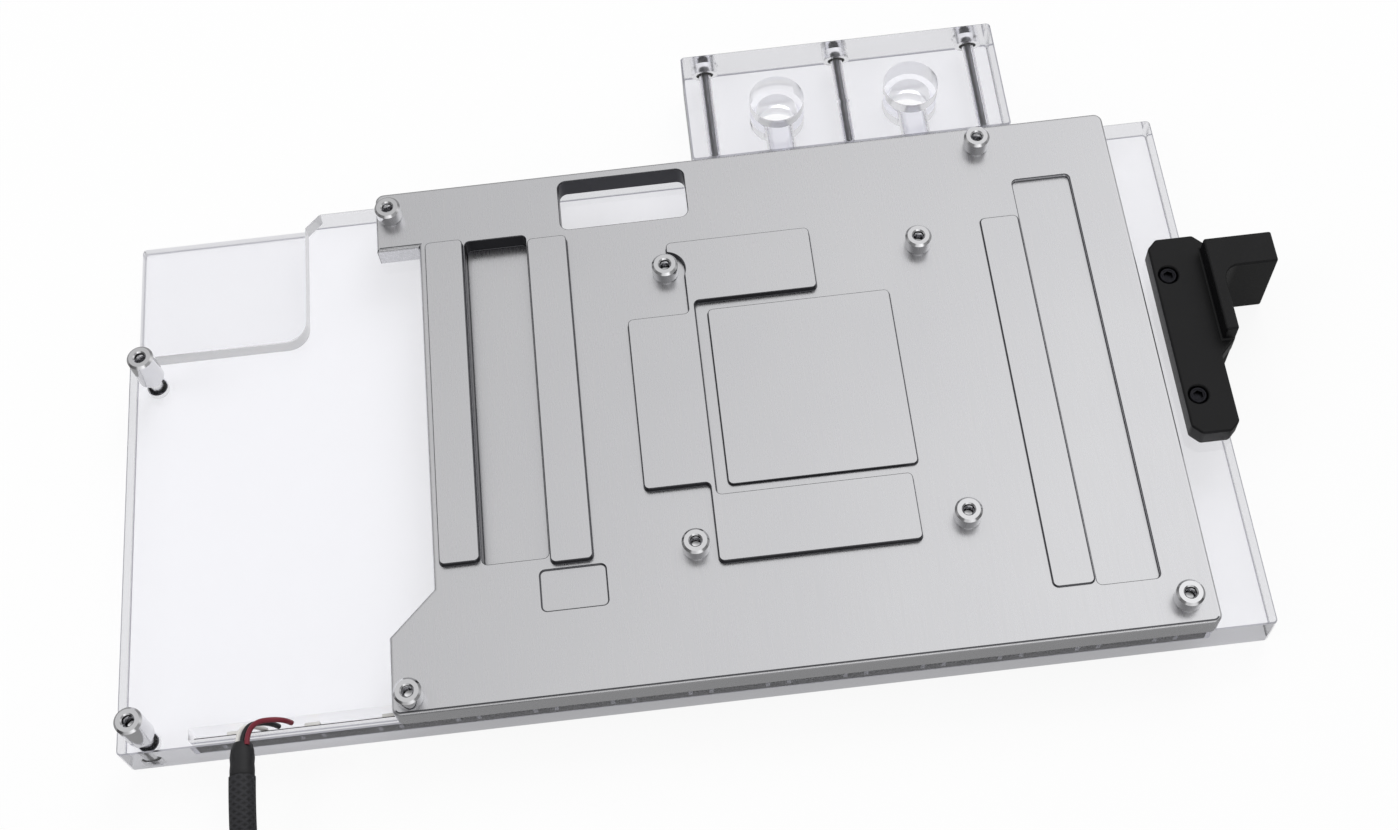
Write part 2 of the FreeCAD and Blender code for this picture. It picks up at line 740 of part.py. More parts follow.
def loop_pair(sketch, half):
    """Two rounded outlines, one each side of the main seal's line."""
    rounded_loop(sketch, seal_line(half), "seal_corner")
    rounded_loop(sketch, seal_line("-(%s)" % half), "seal_corner")


def make_cover():
    """The clear cover: chamber, runners, seal groove, light slot, corner step and screw holes."""
    body = new_body("clear_cover")
    sketch = new_sketch(body)
    outline = box_corners("cover_left", "cover_right", "cover_front", "cover_back")
    rounded_loop(sketch, outline, "cover_corner")
    pad(body, sketch, "cover_thickness")
    cut_corner_step(body)
    cut_chamber(body)
    sketch = new_sketch(body, level=TOP)
    loop_pair(sketch, "seal_width / 2 + groove_play")
    pocket(body, sketch, "seal_depth")
    cut_light_slot(body)
    cut_cover_holes(body)
    cut_terminal_side(body)
    return body


def cut_corner_step(body):
    """The low step at the back left corner, with its slanted jog and round inner corner."""
    sketch = new_sketch(body, level=TOP)
    polygon(sketch, [
        ("cover_left - overcut", "step_front"),
        ("step_right", "step_front"),
        ("step_right", "cover_back - step_jog"),
        ("step_right + step_jog", "cover_back"),
        ("step_right + step_jog", "cover_back + overcut"),
        ("cover_left - overcut", "cover_back + overcut"),
    ])
    pocket(body, sketch, "cover_thickness - step_floor")
    fillet(body, upright_at([("step_right", "step_front")]), "step_radius")


def cut_chamber(body):
    """The chamber round the inlet island, the two runners and the seat of the jet plate."""
    sketch = new_sketch(body, level=TOP)
    rounded_loop(sketch, [
        ("chamber_left", "chamber_front"),
        ("chamber_right", "chamber_front"),
        ("chamber_right", "chamber_back"),
        ("island_half", "chamber_back"),
        ("island_half", "island_front"),
        ("-island_half", "island_front"),
        ("-island_half", "chamber_back"),
        ("chamber_left", "chamber_back"),
    ], "chamber_corner")
    pocket(body, sketch, "chamber_depth")
    sketch = new_sketch(body, level=TOP)
    rounded_loop(sketch, box_corners("-inlet_half", "inlet_half", "slit_shift - inlet_reach",
                                     "slit_shift + inlet_reach"), "runner_corner")
    pocket(body, sketch, "runner_depth")
    for port, start in zip(PORTS, ("slit_shift", "outlet_start")):
        sketch = new_sketch(body, level=TOP)
        rounded_loop(sketch, box_corners(joined(port, "-runner_width / 2"), joined(port, "runner_width / 2"),
                                         start, "runner_back"), "runner_corner")
        pocket(body, sketch, "runner_depth")
    sketch = new_sketch(body, level=TOP)
    polygon(sketch, box_corners("-jet_width / 2 - jet_clearance", "jet_width / 2 + jet_clearance",
                                "jet_shift - jet_length / 2 - jet_clearance",
                                "jet_shift + jet_length / 2 + jet_clearance"))
    pocket(body, sketch, "jet_thickness")


def cut_light_slot(body):
    """The slot for the light strip, and the mouth where its wires come up."""
    sketch = new_sketch(body, level=TOP)
    polygon(sketch, box_corners("slot_left", "slot_right", "cover_front + slot_wall", SLOT_BACK))
    pocket(body, sketch, "slot_depth")


def cut_cover_holes(body):
    """Counterbored holes for the cover screws and end stand-offs, and bracket threads."""
    sketch = new_sketch(body)
    for x, y in COVER_SCREWS + END_SPOTS:
        circle(sketch, x, y, "screw_thread + 2 * screw_clearance")
    pocket(body, sketch, "cover_thickness", reverse=True)
    sketch = new_sketch(body)
    for x, y in COVER_SCREWS + END_SPOTS:
        circle(sketch, x, y, "screw_head + 2 * screw_clearance")
    pocket(body, sketch, "cover_screw_sink", reverse=True)
    sketch = new_sketch(body, level=TOP)
    for x, y in BRACKET_SCREWS:
        circle(sketch, x, y, "screw_thread + 2 * thread_clearance")
    pocket(body, sketch, "bracket_screw_grip + hole_play")


def cut_terminal_side(body):
    """Threads for the terminal screws and a channel from each runner to the back edge."""
    sketch = new_sketch(body, "XZ_Plane", "-cover_back")
    for x in TERMINAL_SCREWS:
        circle(sketch, x, "terminal_screw_level", "screw_thread + 2 * thread_clearance")
    pocket(body, sketch, joined("terminal_screw_length - terminal_depth",
                                "screw_head_height + head_sink + hole_play"), reverse=True)
    sketch = new_sketch(body, "XZ_Plane", "-cover_back")
    for x in PORTS:
        rounded_loop(sketch, channel_section(x, "0"), "channel_corner")
    pocket(body, sketch, "cover_back - runner_back + channel_overlap", reverse=True)


def channel_section(port, grow):
    """The outline of a channel seen along Y, grown on every side."""
    half = "channel_width / 2 + (%s)" % grow
    tall = "channel_height / 2 + (%s)" % grow
    return box_corners(joined(port, "-(%s)" % half), joined(port, half),
                       joined(CHANNEL_LEVEL, "-(%s)" % tall), joined(CHANNEL_LEVEL, tall))


PARTS.append(make_cover())


# Seals and jet plate

def make_main_seal():
    """The rubber ring that closes the chamber against the plate."""
    body = new_body("main_seal")
    sketch = new_sketch(body, level=TOP)
    loop_pair(sketch, "seal_width / 2")
    pad(body, sketch, "seal_depth", reverse=True)
    return body


def make_jet_plate():
    """The thin plate over the fins, with the slit that the coolant enters through."""
    body = new_body("jet_plate")
    sketch = new_sketch(body, level=TOP)
    polygon(sketch, box_corners("-jet_width / 2", "jet_width / 2",
                                "jet_shift - jet_length / 2", "jet_shift + jet_length / 2"))
    rounded_loop(sketch, box_corners("-jet_slit_length / 2", "jet_slit_length / 2",
                                     "slit_shift - jet_slit_width / 2", "slit_shift + jet_slit_width / 2"),
                 "jet_slit_width / 3")
    pad(body, sketch, "jet_thickness", reverse=True)
    return body


def make_port_seal(port, side):
    """The ring round one channel between the terminal and the cover."""
    body = new_body("port_seal_" + side)
    sketch = new_sketch(body, "XZ_Plane", "-cover_back")
    rounded_loop(sketch, channel_section(port, "ring_offset + ring_width"),
                 "channel_corner + ring_offset + ring_width")
    rounded_loop(sketch, channel_section(port, "ring_offset"), "channel_corner + ring_offset")
    pad(body, sketch, "ring_depth", reverse=True)
    return body


PARTS.append(make_main_seal())
PARTS.append(make_jet_plate())
for side, port in zip(("left", "right"), PORTS):
    PARTS.append(make_port_seal(port, side))


# Terminal

def make_terminal():
    """The clear block with two ports through it and a channel from each to the cover."""
    body = new_body("port_terminal")
    left = "terminal_centre - terminal_width / 2"
    right = "terminal_centre + terminal_width / 2"
    back = "cover_back + terminal_depth"
    sketch = new_sketch(body)
    rounded_loop(sketch, box_corners(left, right, "cover_back", back), "terminal_corner")
    pad(body, sketch, "terminal_height")
    sketch = new_sketch(body)
    for port in PORTS:
        circle(sketch, port, "cover_back + port_setback", "port_bore")
    pocket(body, sketch, "terminal_height", reverse=True)
    for level, reverse in (("0", True), ("terminal_height", False)):
        sketch = new_sketch(body, level=level)
        for port in PORTS:
            circle(sketch, port, "cover_back + port_setback", "port_thread")
        pocket(body, sketch, "port_thread_length", reverse=reverse)
    sketch = new_sketch(body, "XZ_Plane", "-cover_back")
    for port in PORTS:
        rounded_loop(sketch, channel_section(port, "0"), "channel_corner")
    pocket(body, sketch, "port_setback")
    sketch = new_sketch(body, "XZ_Plane", "-cover_back")
    for port in PORTS:
        grow = "ring_offset + ring_width + groove_play"
        rounded_loop(sketch, channel_section(port, grow), "channel_corner + " + grow)
        grow = "ring_offset - groove_play"
        rounded_loop(sketch, channel_section(port, grow), "channel_corner + " + grow)
    pocket(body, sketch, "ring_depth")
    sketch = new_sketch(body, "XZ_Plane", "-(%s)" % back)
    for x in TERMINAL_SCREWS:
        circle(sketch, x, "terminal_screw_level", "screw_thread + 2 * screw_clearance")
    pocket(body, sketch, "terminal_depth", reverse=True)
    sketch = new_sketch(body, "XZ_Plane", "-(%s)" % back)
    for x in TERMINAL_SCREWS:
        circle(sketch, x, "terminal_screw_level", "counterbore")
    pocket(body, sketch, "screw_head_height + head_sink", reverse=True)
    return body


PARTS.append(make_terminal())


# Fasteners

def hexagon(sketch, across):
    """A hexagon by its size across flats."""
    polygon(sketch, [("(%s) / sqrt(3) * cos(%d deg)" % (across, turn),
                      "(%s) / sqrt(3) * sin(%d deg)" % (across, turn)) for turn in range(0, 360, 60)])


def cap_screw(label, length, head, head_height):
    """A socket head screw with its seat at the origin and its head upwards."""
    edge, tip = "screw_round", "screw_thread / 6"
    body = turned(label, [
        ("0", head_height),
        (joined("(%s) / 2" % head, "-(%s)" % edge), head_height),
        ("(%s) / 2" % head, joined(head_height, "-(%s)" % edge)),
        ("(%s) / 2" % head, "0"),
        ("screw_thread / 2", "0"),
        ("screw_thread / 2", joined("-(%s)" % length, tip)),
        (joined("screw_thread / 2", "-(%s)" % tip), "-(%s)" % length),
        ("0", "-(%s)" % length),
    ])
    sketch = new_sketch(body, level=head_height)
    hexagon(sketch, "screw_key")
    pocket(body, sketch, "screw_key_depth")
    return body


def stand_off(label):
    """A round stand-off with a threaded stub below and a threaded hole for a card screw."""
    return turned(label, [
        ("stand_off_hole / 2", "stand_off_height"),
        ("stand_off_width / 2 - stand_off_edge", "stand_off_height"),
        ("stand_off_width / 2", "stand_off_height - stand_off_edge"),
        ("stand_off_width / 2", "0"),
        ("stand_off_stub / 2", "0"),
        ("stand_off_stub / 2", "-stand_off_stub_length"),
        ("0", "-stand_off_stub_length"),
        ("0", "stand_off_height - stand_off_hole_depth"),
        ("stand_off_hole / 2", "stand_off_height - stand_off_hole_depth"),
    ])


def tall_stand_off(label):
    """A taller stand-off for the clear cover's end, with a threaded hole in each face."""
    top = "plate_thickness + stand_off_height"
    bore = "screw_thread / 2 + thread_clearance"
    depth = "end_screw_length - cover_thickness + cover_screw_sink + hole_play"
    return turned(label, [
        ("stand_off_hole / 2", top),
        ("stand_off_width / 2 - stand_off_edge", top),
        ("stand_off_width / 2", top + " - stand_off_edge"),
        ("stand_off_width / 2", "0"),
        (bore, "0"),
        (bore, depth),
        ("0", depth),
        ("0", top + " - end_hole_depth"),
        ("stand_off_hole / 2", top + " - end_hole_depth"),
    ])


def set_of(label, make, spots, turn=None):
    """Places one piece at each spot and groups them."""
    pieces = []
    for number, spot in enumerate(spots, 1):
        piece = make("%s_%d" % (label, number))
        place(piece, *spot, turn)
        pieces.append(piece)
    return group(label, pieces)


UPSIDE_DOWN = Rotation(Vector(1, 0, 0), 180)
HEAD_BACKWARDS = Rotation(Vector(1, 0, 0), -90)

PARTS.append(set_of("core_stand_offs", stand_off, [(x, y, FACE) for x, y in CORE_SPOTS]))
PARTS.append(set_of("plate_stand_offs", stand_off, [(x, y, FACE) for x, y in PLATE_SPOTS]))
PARTS.append(set_of("cover_stand_offs", tall_stand_off, [(x, y, TOP) for x, y in END_SPOTS]))
PARTS.append(set_of(
    "cover_screws",
    lambda label: cap_screw(label, "cover_thickness - cover_screw_sink + cover_screw_grip",
                            "screw_head", "screw_head_height"),
    [(x, y, "cover_screw_sink") for x, y in COVER_SCREWS], UPSIDE_DOWN))
PARTS.append(set_of(
    "stand_off_screws",
    lambda label: cap_screw(label, "end_screw_length", "screw_head", "screw_head_height"),
    [(x, y, "cover_screw_sink") for x, y in END_SPOTS], UPSIDE_DOWN))
PARTS.append(set_of(
    "terminal_screws",
    lambda label: cap_screw(label, "terminal_screw_length", "screw_head", "screw_head_height"),
    [(x, "cover_back + terminal_depth - screw_head_height - head_sink", "terminal_screw_level")
     for x in TERMINAL_SCREWS], HEAD_BACKWARDS))
PARTS.append(set_of(
    "bracket_screws",
    lambda label: cap_screw(label, "bar_height - bracket_sink + bracket_screw_grip",
                            "bracket_head", "bracket_sink - head_sink"),
    [(x, y, "cover_thickness + bar_height - bracket_sink") for x, y in BRACKET_SCREWS]))


# Support bracket

def make_bracket():
    """The black support bracket: a bar on the cover, a rib and an arm that reaches past the end."""
    body = new_body("support_bracket")
    right = joined(BAR_LEFT, "bar_width")
    rib_left = joined(right, "rib_start")
    rib_right = joined(rib_left, "rib_width")
    card_side = joined(FACE, "stand_off_height")
    sketch = new_sketch(body, level=TOP)
    polygon(sketch, [
        (joined(BAR_LEFT, "bar_chamfer"), "bar_front"),
        (joined(right, "-bar_chamfer"), "bar_front"),
        (right, "bar_front + bar_chamfer"),
        (right, "rib_front - rib_ramp"),
        (rib_right, "rib_front"),
        (rib_right, "arm_back"),
        (right, "bar_back"),
        (joined(BAR_LEFT, "bar_chamfer"), "bar_back"),
        (BAR_LEFT, "bar_back - bar_chamfer"),
        (BAR_LEFT, "bar_front + bar_chamfer"),
    ])
    pad(body, sketch, "bar_height")
    sketch = new_sketch(body)
    polygon(sketch, [
        (rib_left, "rib_front"),
        (rib_right, "rib_front"),
        (rib_right, "arm_front"),
        ("arm_reach", "arm_front"),
        ("arm_reach", "arm_back"),
        (rib_left, "arm_back"),
    ])
    pad(body, sketch, card_side)
    fillet(body, upright_at([(rib_right, "arm_front")]), "arm_fillet")
    sketch = new_sketch(body, level=joined(TOP, "bar_height"))
    for x, y in BRACKET_SCREWS:
        circle(sketch, x, y, "screw_thread + 2 * screw_clearance")
    pocket(body, sketch, "bar_height")
    sketch = new_sketch(body, level=joined(TOP, "bar_height"))
    for x, y in BRACKET_SCREWS:
        circle(sketch, x, y, "bracket_head + 2 * screw_clearance")
    pocket(body, sketch, "bracket_sink")
    return body


PARTS.append(make_bracket())


# Light strip

def block(label, left, front, low, along, deep, tall):
    """A rectangular block by its lowest corner and its three lengths."""
    piece = doc.addObject("Part::Box", label)
    piece.Label = label
    bind(piece, "Length", along)
    bind(piece, "Width", deep)
    bind(piece, "Height", tall)
    place(piece, left, front, low)
    return piece


SLOT_FLOOR = "cover_thickness - slot_depth"
BOARD_FRONT = "cover_front + slot_wall + groove_play"
BOARD_BACK = joined(BOARD_FRONT, "board_thickness")


def make_chips():
    """The light chips along the strip, facing into the cover."""
    count = int(value("board_right - board_left") / value("chip_pitch"))
    chips = []
    for i in range(count):
        left = "board_left + %d * chip_pitch + chip_pitch / 2 - chip_width / 2" % i
        low = joined(SLOT_FLOOR, "board_height / 2 - chip_height / 2")
        chips.append(block("light_chip_%d" % (i + 1), left, BOARD_BACK, low,
                           "chip_width", "chip_depth", "chip_height"))
    return group("light_chips", chips)


PARTS.append(block("light_board", "board_left", BOARD_FRONT, SLOT_FLOOR,
                   "board_right - board_left", "board_thickness", "board_height"))
PARTS.append(make_chips())


# Wires, lead and connector

def rounded_path(points):
    """Straight runs joined by tangent arcs as large as the runs allow, with the arc radii."""
    corners = [Vector(*point) for point in points]
    edges, radii = [], []
    start = corners[0]
    for before, corner, after in zip(corners, corners[1:], corners[2:]):
        back, ahead = (before - corner), (after - corner)
        turn = math.pi - back.getAngle(ahead)
        cut = 0.45 * min(back.Length, ahead.Length)
        radius = cut / math.tan(turn / 2)
        back.normalize()
        ahead.normalize()
        first, last = corner + back * cut, corner + ahead * cut
        bisector = (back + ahead).normalize()
        middle = corner + bisector * (radius / math.cos(turn / 2) - radius)
        edges.append(Part.LineSegment(start, first).toShape())
        edges.append(Part.Arc(first, middle, last).toShape())
        radii.append(radius)
        start = last
    edges.append(Part.LineSegment(start, corners[-1]).toShape())
    return Part.Wire(edges), radii


def tube(label, points, diameter):
    """A round solid swept along a route, checked against its section times its length."""
    path, radii = rounded_path(points)
    heading = Vector(*points[1]) - Vector(*points[0])
    ring = Part.Wire(Part.makeCircle(diameter / 2, Vector(*points[0]), heading))
    solid = path.makePipeShell([ring], True, False)
    expected = math.pi * diameter ** 2 / 4 * path.Length
    if abs(solid.Volume - expected) > 0.02 * expected:
        raise RuntimeError("the sweep of %s lost its section" % label)
    print(label, "length %.1f" % path.Length, "radii", " ".join("%.1f" % radius for radius in radii))
    piece = doc.addObject("Part::Feature", label)
    piece.Label = label
    piece.Shape = solid
    piece.Placement = Placement()
    return piece


WIRE = value("wire_width")
SLEEVE_FRONT = value("cover_front - sleeve_gap")
WIRE_LINE = value(BOARD_BACK) + WIRE / 2 + value("thread_clearance")
WIRE_NAMES = ["white_wire", "black_wire", "red_wire"]


def make_wire(label, order):
    """One wire from the strip's board, up out of the slot and over the edge to the sleeve."""
    start = value("wire_start") + order * value("wire_step")
    spacing = WIRE + value("wire_gap")
    level = value("sleeve_level") - WIRE + order * spacing
    end = value("sleeve_centre") + (order - 1) * spacing
    return tube(label, [
        (start, WIRE_LINE, level - value("wire_rise")),
        (start - value("wire_lean"), WIRE_LINE, level + value("wire_crest")),
        (end, WIRE_LINE, level),
        (end, SLEEVE_FRONT, level),
    ], WIRE)


for order, label in enumerate(WIRE_NAMES):
    PARTS.append(make_wire(label, order))


def make_sleeve():
    """The shrink sleeve where the three wires enter the lead."""
    sleeve = doc.addObject("Part::Cylinder", "shrink_sleeve")
    sleeve.Label = "shrink_sleeve"
    bind(sleeve, "Radius", "sleeve_width / 2")
    bind(sleeve, "Height", "sleeve_length")
    place(sleeve, "sleeve_centre", "cover_front - sleeve_gap", "sleeve_level", Rotation(Vector(1, 0, 0), 90))
    return sleeve


PARTS.append(make_sleeve())

# The lead runs straight away from the front edge, comes down to the floor and enters its coil
LEAD = value("lead_width")
LEAD_START = value("cover_front - sleeve_gap - sleeve_length")
LEAD_ROUTE = [
    (value("sleeve_centre"), LEAD_START, value("sleeve_level")),
    (value("sleeve_centre"), LEAD_START - value("lead_run"), value("sleeve_level")),
    (value("lead_knee_x"), value("lead_knee_y"), value("lead_knee_level")),
    (value("lead_end_x"), value("lead_end_y"), value("lead_end_level")),
]
PARTS.append(tube("light_lead", LEAD_ROUTE, LEAD))


def make_coil():
    """The outer shape of the coiled turns, which lie side by side on the floor."""
    inner = "coil_radius - coil_turns * lead_width / 2"
    outer = "coil_radius + coil_turns * lead_width / 2"
    bevel = "lead_width / 4"
    coil = turned("light_lead_coil", [
        (joined(inner, bevel), "0"),
        (joined(outer, "-" + bevel), "0"),
        (outer, bevel),
        (outer, joined("lead_width", "-" + bevel)),
        (joined(outer, "-" + bevel), "lead_width"),
        (joined(inner, bevel), "lead_width"),
        (inner, joined("lead_width", "-" + bevel)),
        (inner, bevel),
    ])
    place(coil, "coil_centre_x", "coil_centre_y", "0")
    return coil


PARTS.append(make_coil())

PLUG_LEFT = "coil_centre_x - plug_length / 2"
PLUG_LINE = "coil_centre_y - plug_setback"


def make_connector():
    """The connector on the lead's end: a housing with one open mouth and a latch."""
    body = new_body("connector_housing")
    front, back = joined(PLUG_LINE, "-plug_width / 2"), joined(PLUG_LINE, "plug_width / 2")
    mouth = joined(PLUG_LEFT, "plug_length")
    sketch = new_sketch(body)
    rounded_loop(sketch, box_corners(PLUG_LEFT, mouth, front, back), "plug_wall / 2")
    pad(body, sketch, "plug_height - plug_wall")
    sketch = new_sketch(body, level="plug_height - plug_wall")
    polygon(sketch, box_corners(joined(PLUG_LEFT, "plug_socket"), joined(mouth, "-plug_wall"),
                                joined(PLUG_LINE, "-plug_latch / 2"), joined(PLUG_LINE, "plug_latch / 2")))
    pad(body, sketch, "plug_wall")
    sketch = new_sketch(body, "YZ_Plane", mouth)
    polygon(sketch, box_corners(joined(front, "plug_wall"), joined(back, "-plug_wall"),
                                "plug_wall", "plug_height - 2 * plug_wall"))
    pocket(body, sketch, "plug_socket")
    return body


def make_contacts():
    """The three contact pins in the connector's mouth."""
    pins = []
    for i in (-1, 0, 1):
        line = joined(PLUG_LINE, "%d * pin_pitch - pin_width / 2" % i)
        pins.append(block("contact_%d" % (i + 2), joined(PLUG_LEFT, "plug_length - plug_socket"), line,
                          "plug_height / 2 - plug_wall / 2 - pin_width / 2",
                          "plug_socket - plug_wall", "pin_width", "pin_width"))
    return group("connector_contacts", pins)


PARTS.append(make_connector())
PARTS.append(make_contacts())


def check_and_write():
    """Stops if any object failed, then writes each sub-part to its own file."""
    doc.recompute()
    for thing in doc.Objects:
        if "Invalid" in thing.State or "Error" in thing.State:
            raise RuntimeError("failed: " + thing.Name)
    os.makedirs("parts", exist_ok=True)
    for part in PARTS:
        shape = part.Shape
        if shape.isNull() or not shape.isValid():
            raise RuntimeError("bad shape: " + part.Label)
        box = shape.BoundBox
        print("%-24s solids %2d  volume %10.2f  x %.1f %.1f  y %.1f %.1f  z %.1f %.1f" % (
            part.Label, len(shape.Solids), shape.Volume,
            box.XMin, box.XMax, box.YMin, box.YMax, box.ZMin, box.ZMax))
        shape.exportStep("parts/%s.step" % part.Label)


check_and_write()
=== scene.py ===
import logging
import math
from dataclasses import dataclass
from enum import Enum
from typing import Callable, Optional, Sequence

import bmesh
import bpy
from bmesh.types import BMEdge, BMesh, BMFace, BMVert
from bpy.types import Material, Node, NodeSocket, NodeTree, Object
from mathutils import Matrix, Vector
from mathutils.bvhtree import BVHTree


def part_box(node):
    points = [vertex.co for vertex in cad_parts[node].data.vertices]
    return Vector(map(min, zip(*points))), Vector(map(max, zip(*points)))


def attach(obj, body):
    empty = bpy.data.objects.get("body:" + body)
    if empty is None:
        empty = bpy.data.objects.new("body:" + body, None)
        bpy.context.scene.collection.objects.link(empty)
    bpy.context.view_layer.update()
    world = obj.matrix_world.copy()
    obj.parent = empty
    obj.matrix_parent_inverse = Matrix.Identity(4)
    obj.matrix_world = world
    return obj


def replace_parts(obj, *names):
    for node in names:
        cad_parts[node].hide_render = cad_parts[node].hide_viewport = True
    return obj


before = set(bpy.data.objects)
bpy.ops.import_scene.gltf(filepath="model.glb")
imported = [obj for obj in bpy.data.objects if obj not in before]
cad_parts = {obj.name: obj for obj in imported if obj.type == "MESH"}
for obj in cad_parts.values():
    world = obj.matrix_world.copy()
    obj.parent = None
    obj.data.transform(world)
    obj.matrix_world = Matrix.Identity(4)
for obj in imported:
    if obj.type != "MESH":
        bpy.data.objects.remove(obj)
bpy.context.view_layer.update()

# Dressed model of a full-cover cooling block for a graphics card, lying on its clear cover.
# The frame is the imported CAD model: X along the block, Y towards the ports, Z out of the contact side.

LOG = logging.getLogger("cooling_block")
MM = 0.001
MERGED = 0.0005 * MM  # points nearer than this are one point
LEVEL = 0.01 * MM  # places nearer than this lie in one plane
UPRIGHT = 0.1  # a face stands upright when its normal rises less than this
SIDES = tuple(Vector(way) for way in ((1, 0, 0), (-1, 0, 0), (0, 1, 0), (0, -1, 0)))

Box = tuple[Vector, Vector]
EdgeTest = Callable[[BMEdge], bool]
Fade = tuple[str, float, float, float, float, str]
Point = tuple[float, float, float]


# Materials

def srgb(code: str) -> tuple[float, float, float, float]:
    """Turns an sRGB hex colour into linear light.

    Args:
        code: six hex digits, such as "C8C9CC".

    Returns:
        Linear red, green, blue and an alpha of 1.
    """
    parts = [int(code[i:i + 2], 16) / 255.0 for i in (0, 2, 4)]
    linear = [c / 12.92 if c <= 0.04045 else ((c + 0.055) / 1.055) ** 2.4 for c in parts]
    return (linear[0], linear[1], linear[2], 1.0)


def add_node(tree: NodeTree, kind: str, inputs: Optional[dict] = None, **settings: object) -> Node:
    """Adds one node, sets its properties and fills its inputs.

    Args:
        tree: the node tree to add to.
        kind: the node's type name, without ShaderNode before it.
        inputs: values, output sockets or nodes, by input name or number; a node stands for its
            first output in use.
        **settings: properties of the node itself.

    Returns:
        The new node.
    """
    node = tree.nodes.new("ShaderNode" + kind)
    for name, setting in settings.items():
        setattr(node, name, setting)
    for name, source in (inputs or {}).items():
        if isinstance(source, Node):
            source = next(output for output in source.outputs if output.enabled)
        if isinstance(source, NodeSocket):
            tree.links.new(source, node.inputs[name])
        else:
            node.inputs[name].default_value = source
    return node


def grain_of(tree: NodeTree, size_mm: float, detail: float, stretch: Point = (1.0, 1.0, 1.0)) -> Node:
    """Lays a cloudy grain over the piece's own coordinates.

    Args:
        tree: the node tree to add to.
        size_mm: the width of one cloud.
        detail: how many finer layers lie over it.
        stretch: how many times finer it is along X, Y and Z.

    Returns:
        The grain's node.
    """
    place = add_node(tree, "TexCoord")
    stretched = add_node(tree, "Mapping", {"Vector": place.outputs["Object"], "Scale": stretch})
    return add_node(tree, "TexNoise", {
        "Vector": stretched, "Scale": 1.0 / (size_mm * MM), "Detail": detail})


def worn(tree: NodeTree, grain: Node,
         look: "NickelPlate | PlainMetal | PlainPolymer") -> dict[str, Node]:
    """Lets a grain vary the roughness and raise a fine relief.

    Args:
        tree: the node tree to add to.
        grain: the grain's node.
        look: the finish, with its roughness and the spread of it, and the relief's height and strength.

    Returns:
        The roughness and the normal, as shader inputs.
    """
    wear = add_node(tree, "MapRange", {
        "Value": grain, "From Min": 0.3, "From Max": 0.7,
        "To Min": look.roughness - look.spread, "To Max": look.roughness + look.spread})
    relief = add_node(tree, "Bump", {
        "Height": grain, "Strength": look.strength, "Distance": look.relief_mm * MM})
    return {"Roughness": wear, "Normal": relief}


def made_of(name: str, shaded: Callable[[NodeTree], Node]) -> Material:
    """Makes a node material.

    Args:
        name: the material's name.
        shaded: adds the shader to a node tree and returns its node.

    Returns:
        The finished material.
    """
    material = bpy.data.materials.new(name)
    material.use_nodes = True
    material.node_tree.nodes.clear()
    add_node(material.node_tree, "OutputMaterial", {"Surface": shaded(material.node_tree)})
    return material


# Finishes

@dataclass(frozen=True)
class NickelPlate:
    """Copper plate, milled flat, then bright nickel plated.

    Plating over fine cutter marks gives a satin mirror: soft reflections drawn out along the marks.
    """

    name: str = "satin_nickel_on_milled_copper"
    light: str = "DADADC"
    dark: str = "D3D3D6"
    # painted shade: the colour that inner corners darken to
    corner: str = "55555A"
    roughness: float = 0.28
    spread: float = 0.02
    mark_mm: float = 0.35
    relief_mm: float = 0.01
    strength: float = 0.006
    cloud_mm: float = 38.0
    corner_mm: float = 0.4

    def shaded(self, tree: NodeTree) -> Node:
        """Adds the shader.

        Args:
            tree: the material's node tree.

        Returns:
            The shader's node.
        """
        # The cutter's marks run along Y and are drawn 0.35 mm apart so that they show
        marks = grain_of(tree, self.mark_mm, 3.0, (1.0, 0.04, 1.0))
        cloud = grain_of(tree, self.cloud_mm, 2.0)
        colour = add_node(tree, "Mix", {
            0: cloud, 6: srgb(self.dark), 7: srgb(self.light)}, data_type="RGBA")
        # Painted shade: the colour darkens to the corner colour in inner corners, where ambient occlusion
        # finds walls close by
        corners = add_node(tree, "AmbientOcclusion", {"Distance": self.corner_mm * MM},
                           samples=8, only_local=True)
        reach = add_node(tree, "MapRange", {
            "Value": corners.outputs["AO"], "From Min": 0.45, "From Max": 0.9})
        corner_shaded = add_node(tree, "Mix", {0: reach, 6: srgb(self.corner), 7: colour}, data_type="RGBA")
        return add_node(tree, "BsdfPrincipled", {
            "Base Color": corner_shaded, "Metallic": 1.0, **worn(tree, marks, self)})


@dataclass(frozen=True)
class ClearAcrylic:
    """Cast acrylic sheet, machined, then vapour polished.

    It bends light like glass but a little less, has a faint cool tint in depth, and polishing
    leaves its milled walls slightly wavy.
    """

    name: str = "vapour_polished_acrylic"
    tint: str = "EFEFF5"
    roughness: float = 0.015
    refraction: float = 1.49
    wave_mm: float = 3.0
    strength: float = 0.02
    relief_mm: float = 0.05

    def shaded(self, tree: NodeTree) -> Node:
        """Adds the shader.

        Args:
            tree: the material's node tree.

        Returns:
            The shader's node.
        """
        relief = add_node(tree, "Bump", {
            "Height": grain_of(tree, self.wave_mm, 1.0), "Strength": self.strength,
            "Distance": self.relief_mm * MM})
        glass = add_node(tree, "BsdfPrincipled", {
            "Base Color": srgb(self.tint), "Metallic": 0.0, "Roughness": self.roughness,
            "IOR": self.refraction, "Transmission Weight": 1.0, "Normal": relief})
        # Lamps shine through the clear block, so what lies under it isn't black
        passing = add_node(tree, "BsdfTransparent", {"Color": srgb(self.tint)})
        rays = add_node(tree, "LightPath")
        return add_node(tree, "MixShader", {
            0: rays.outputs["Is Shadow Ray"], 1: glass,
            2: passing})


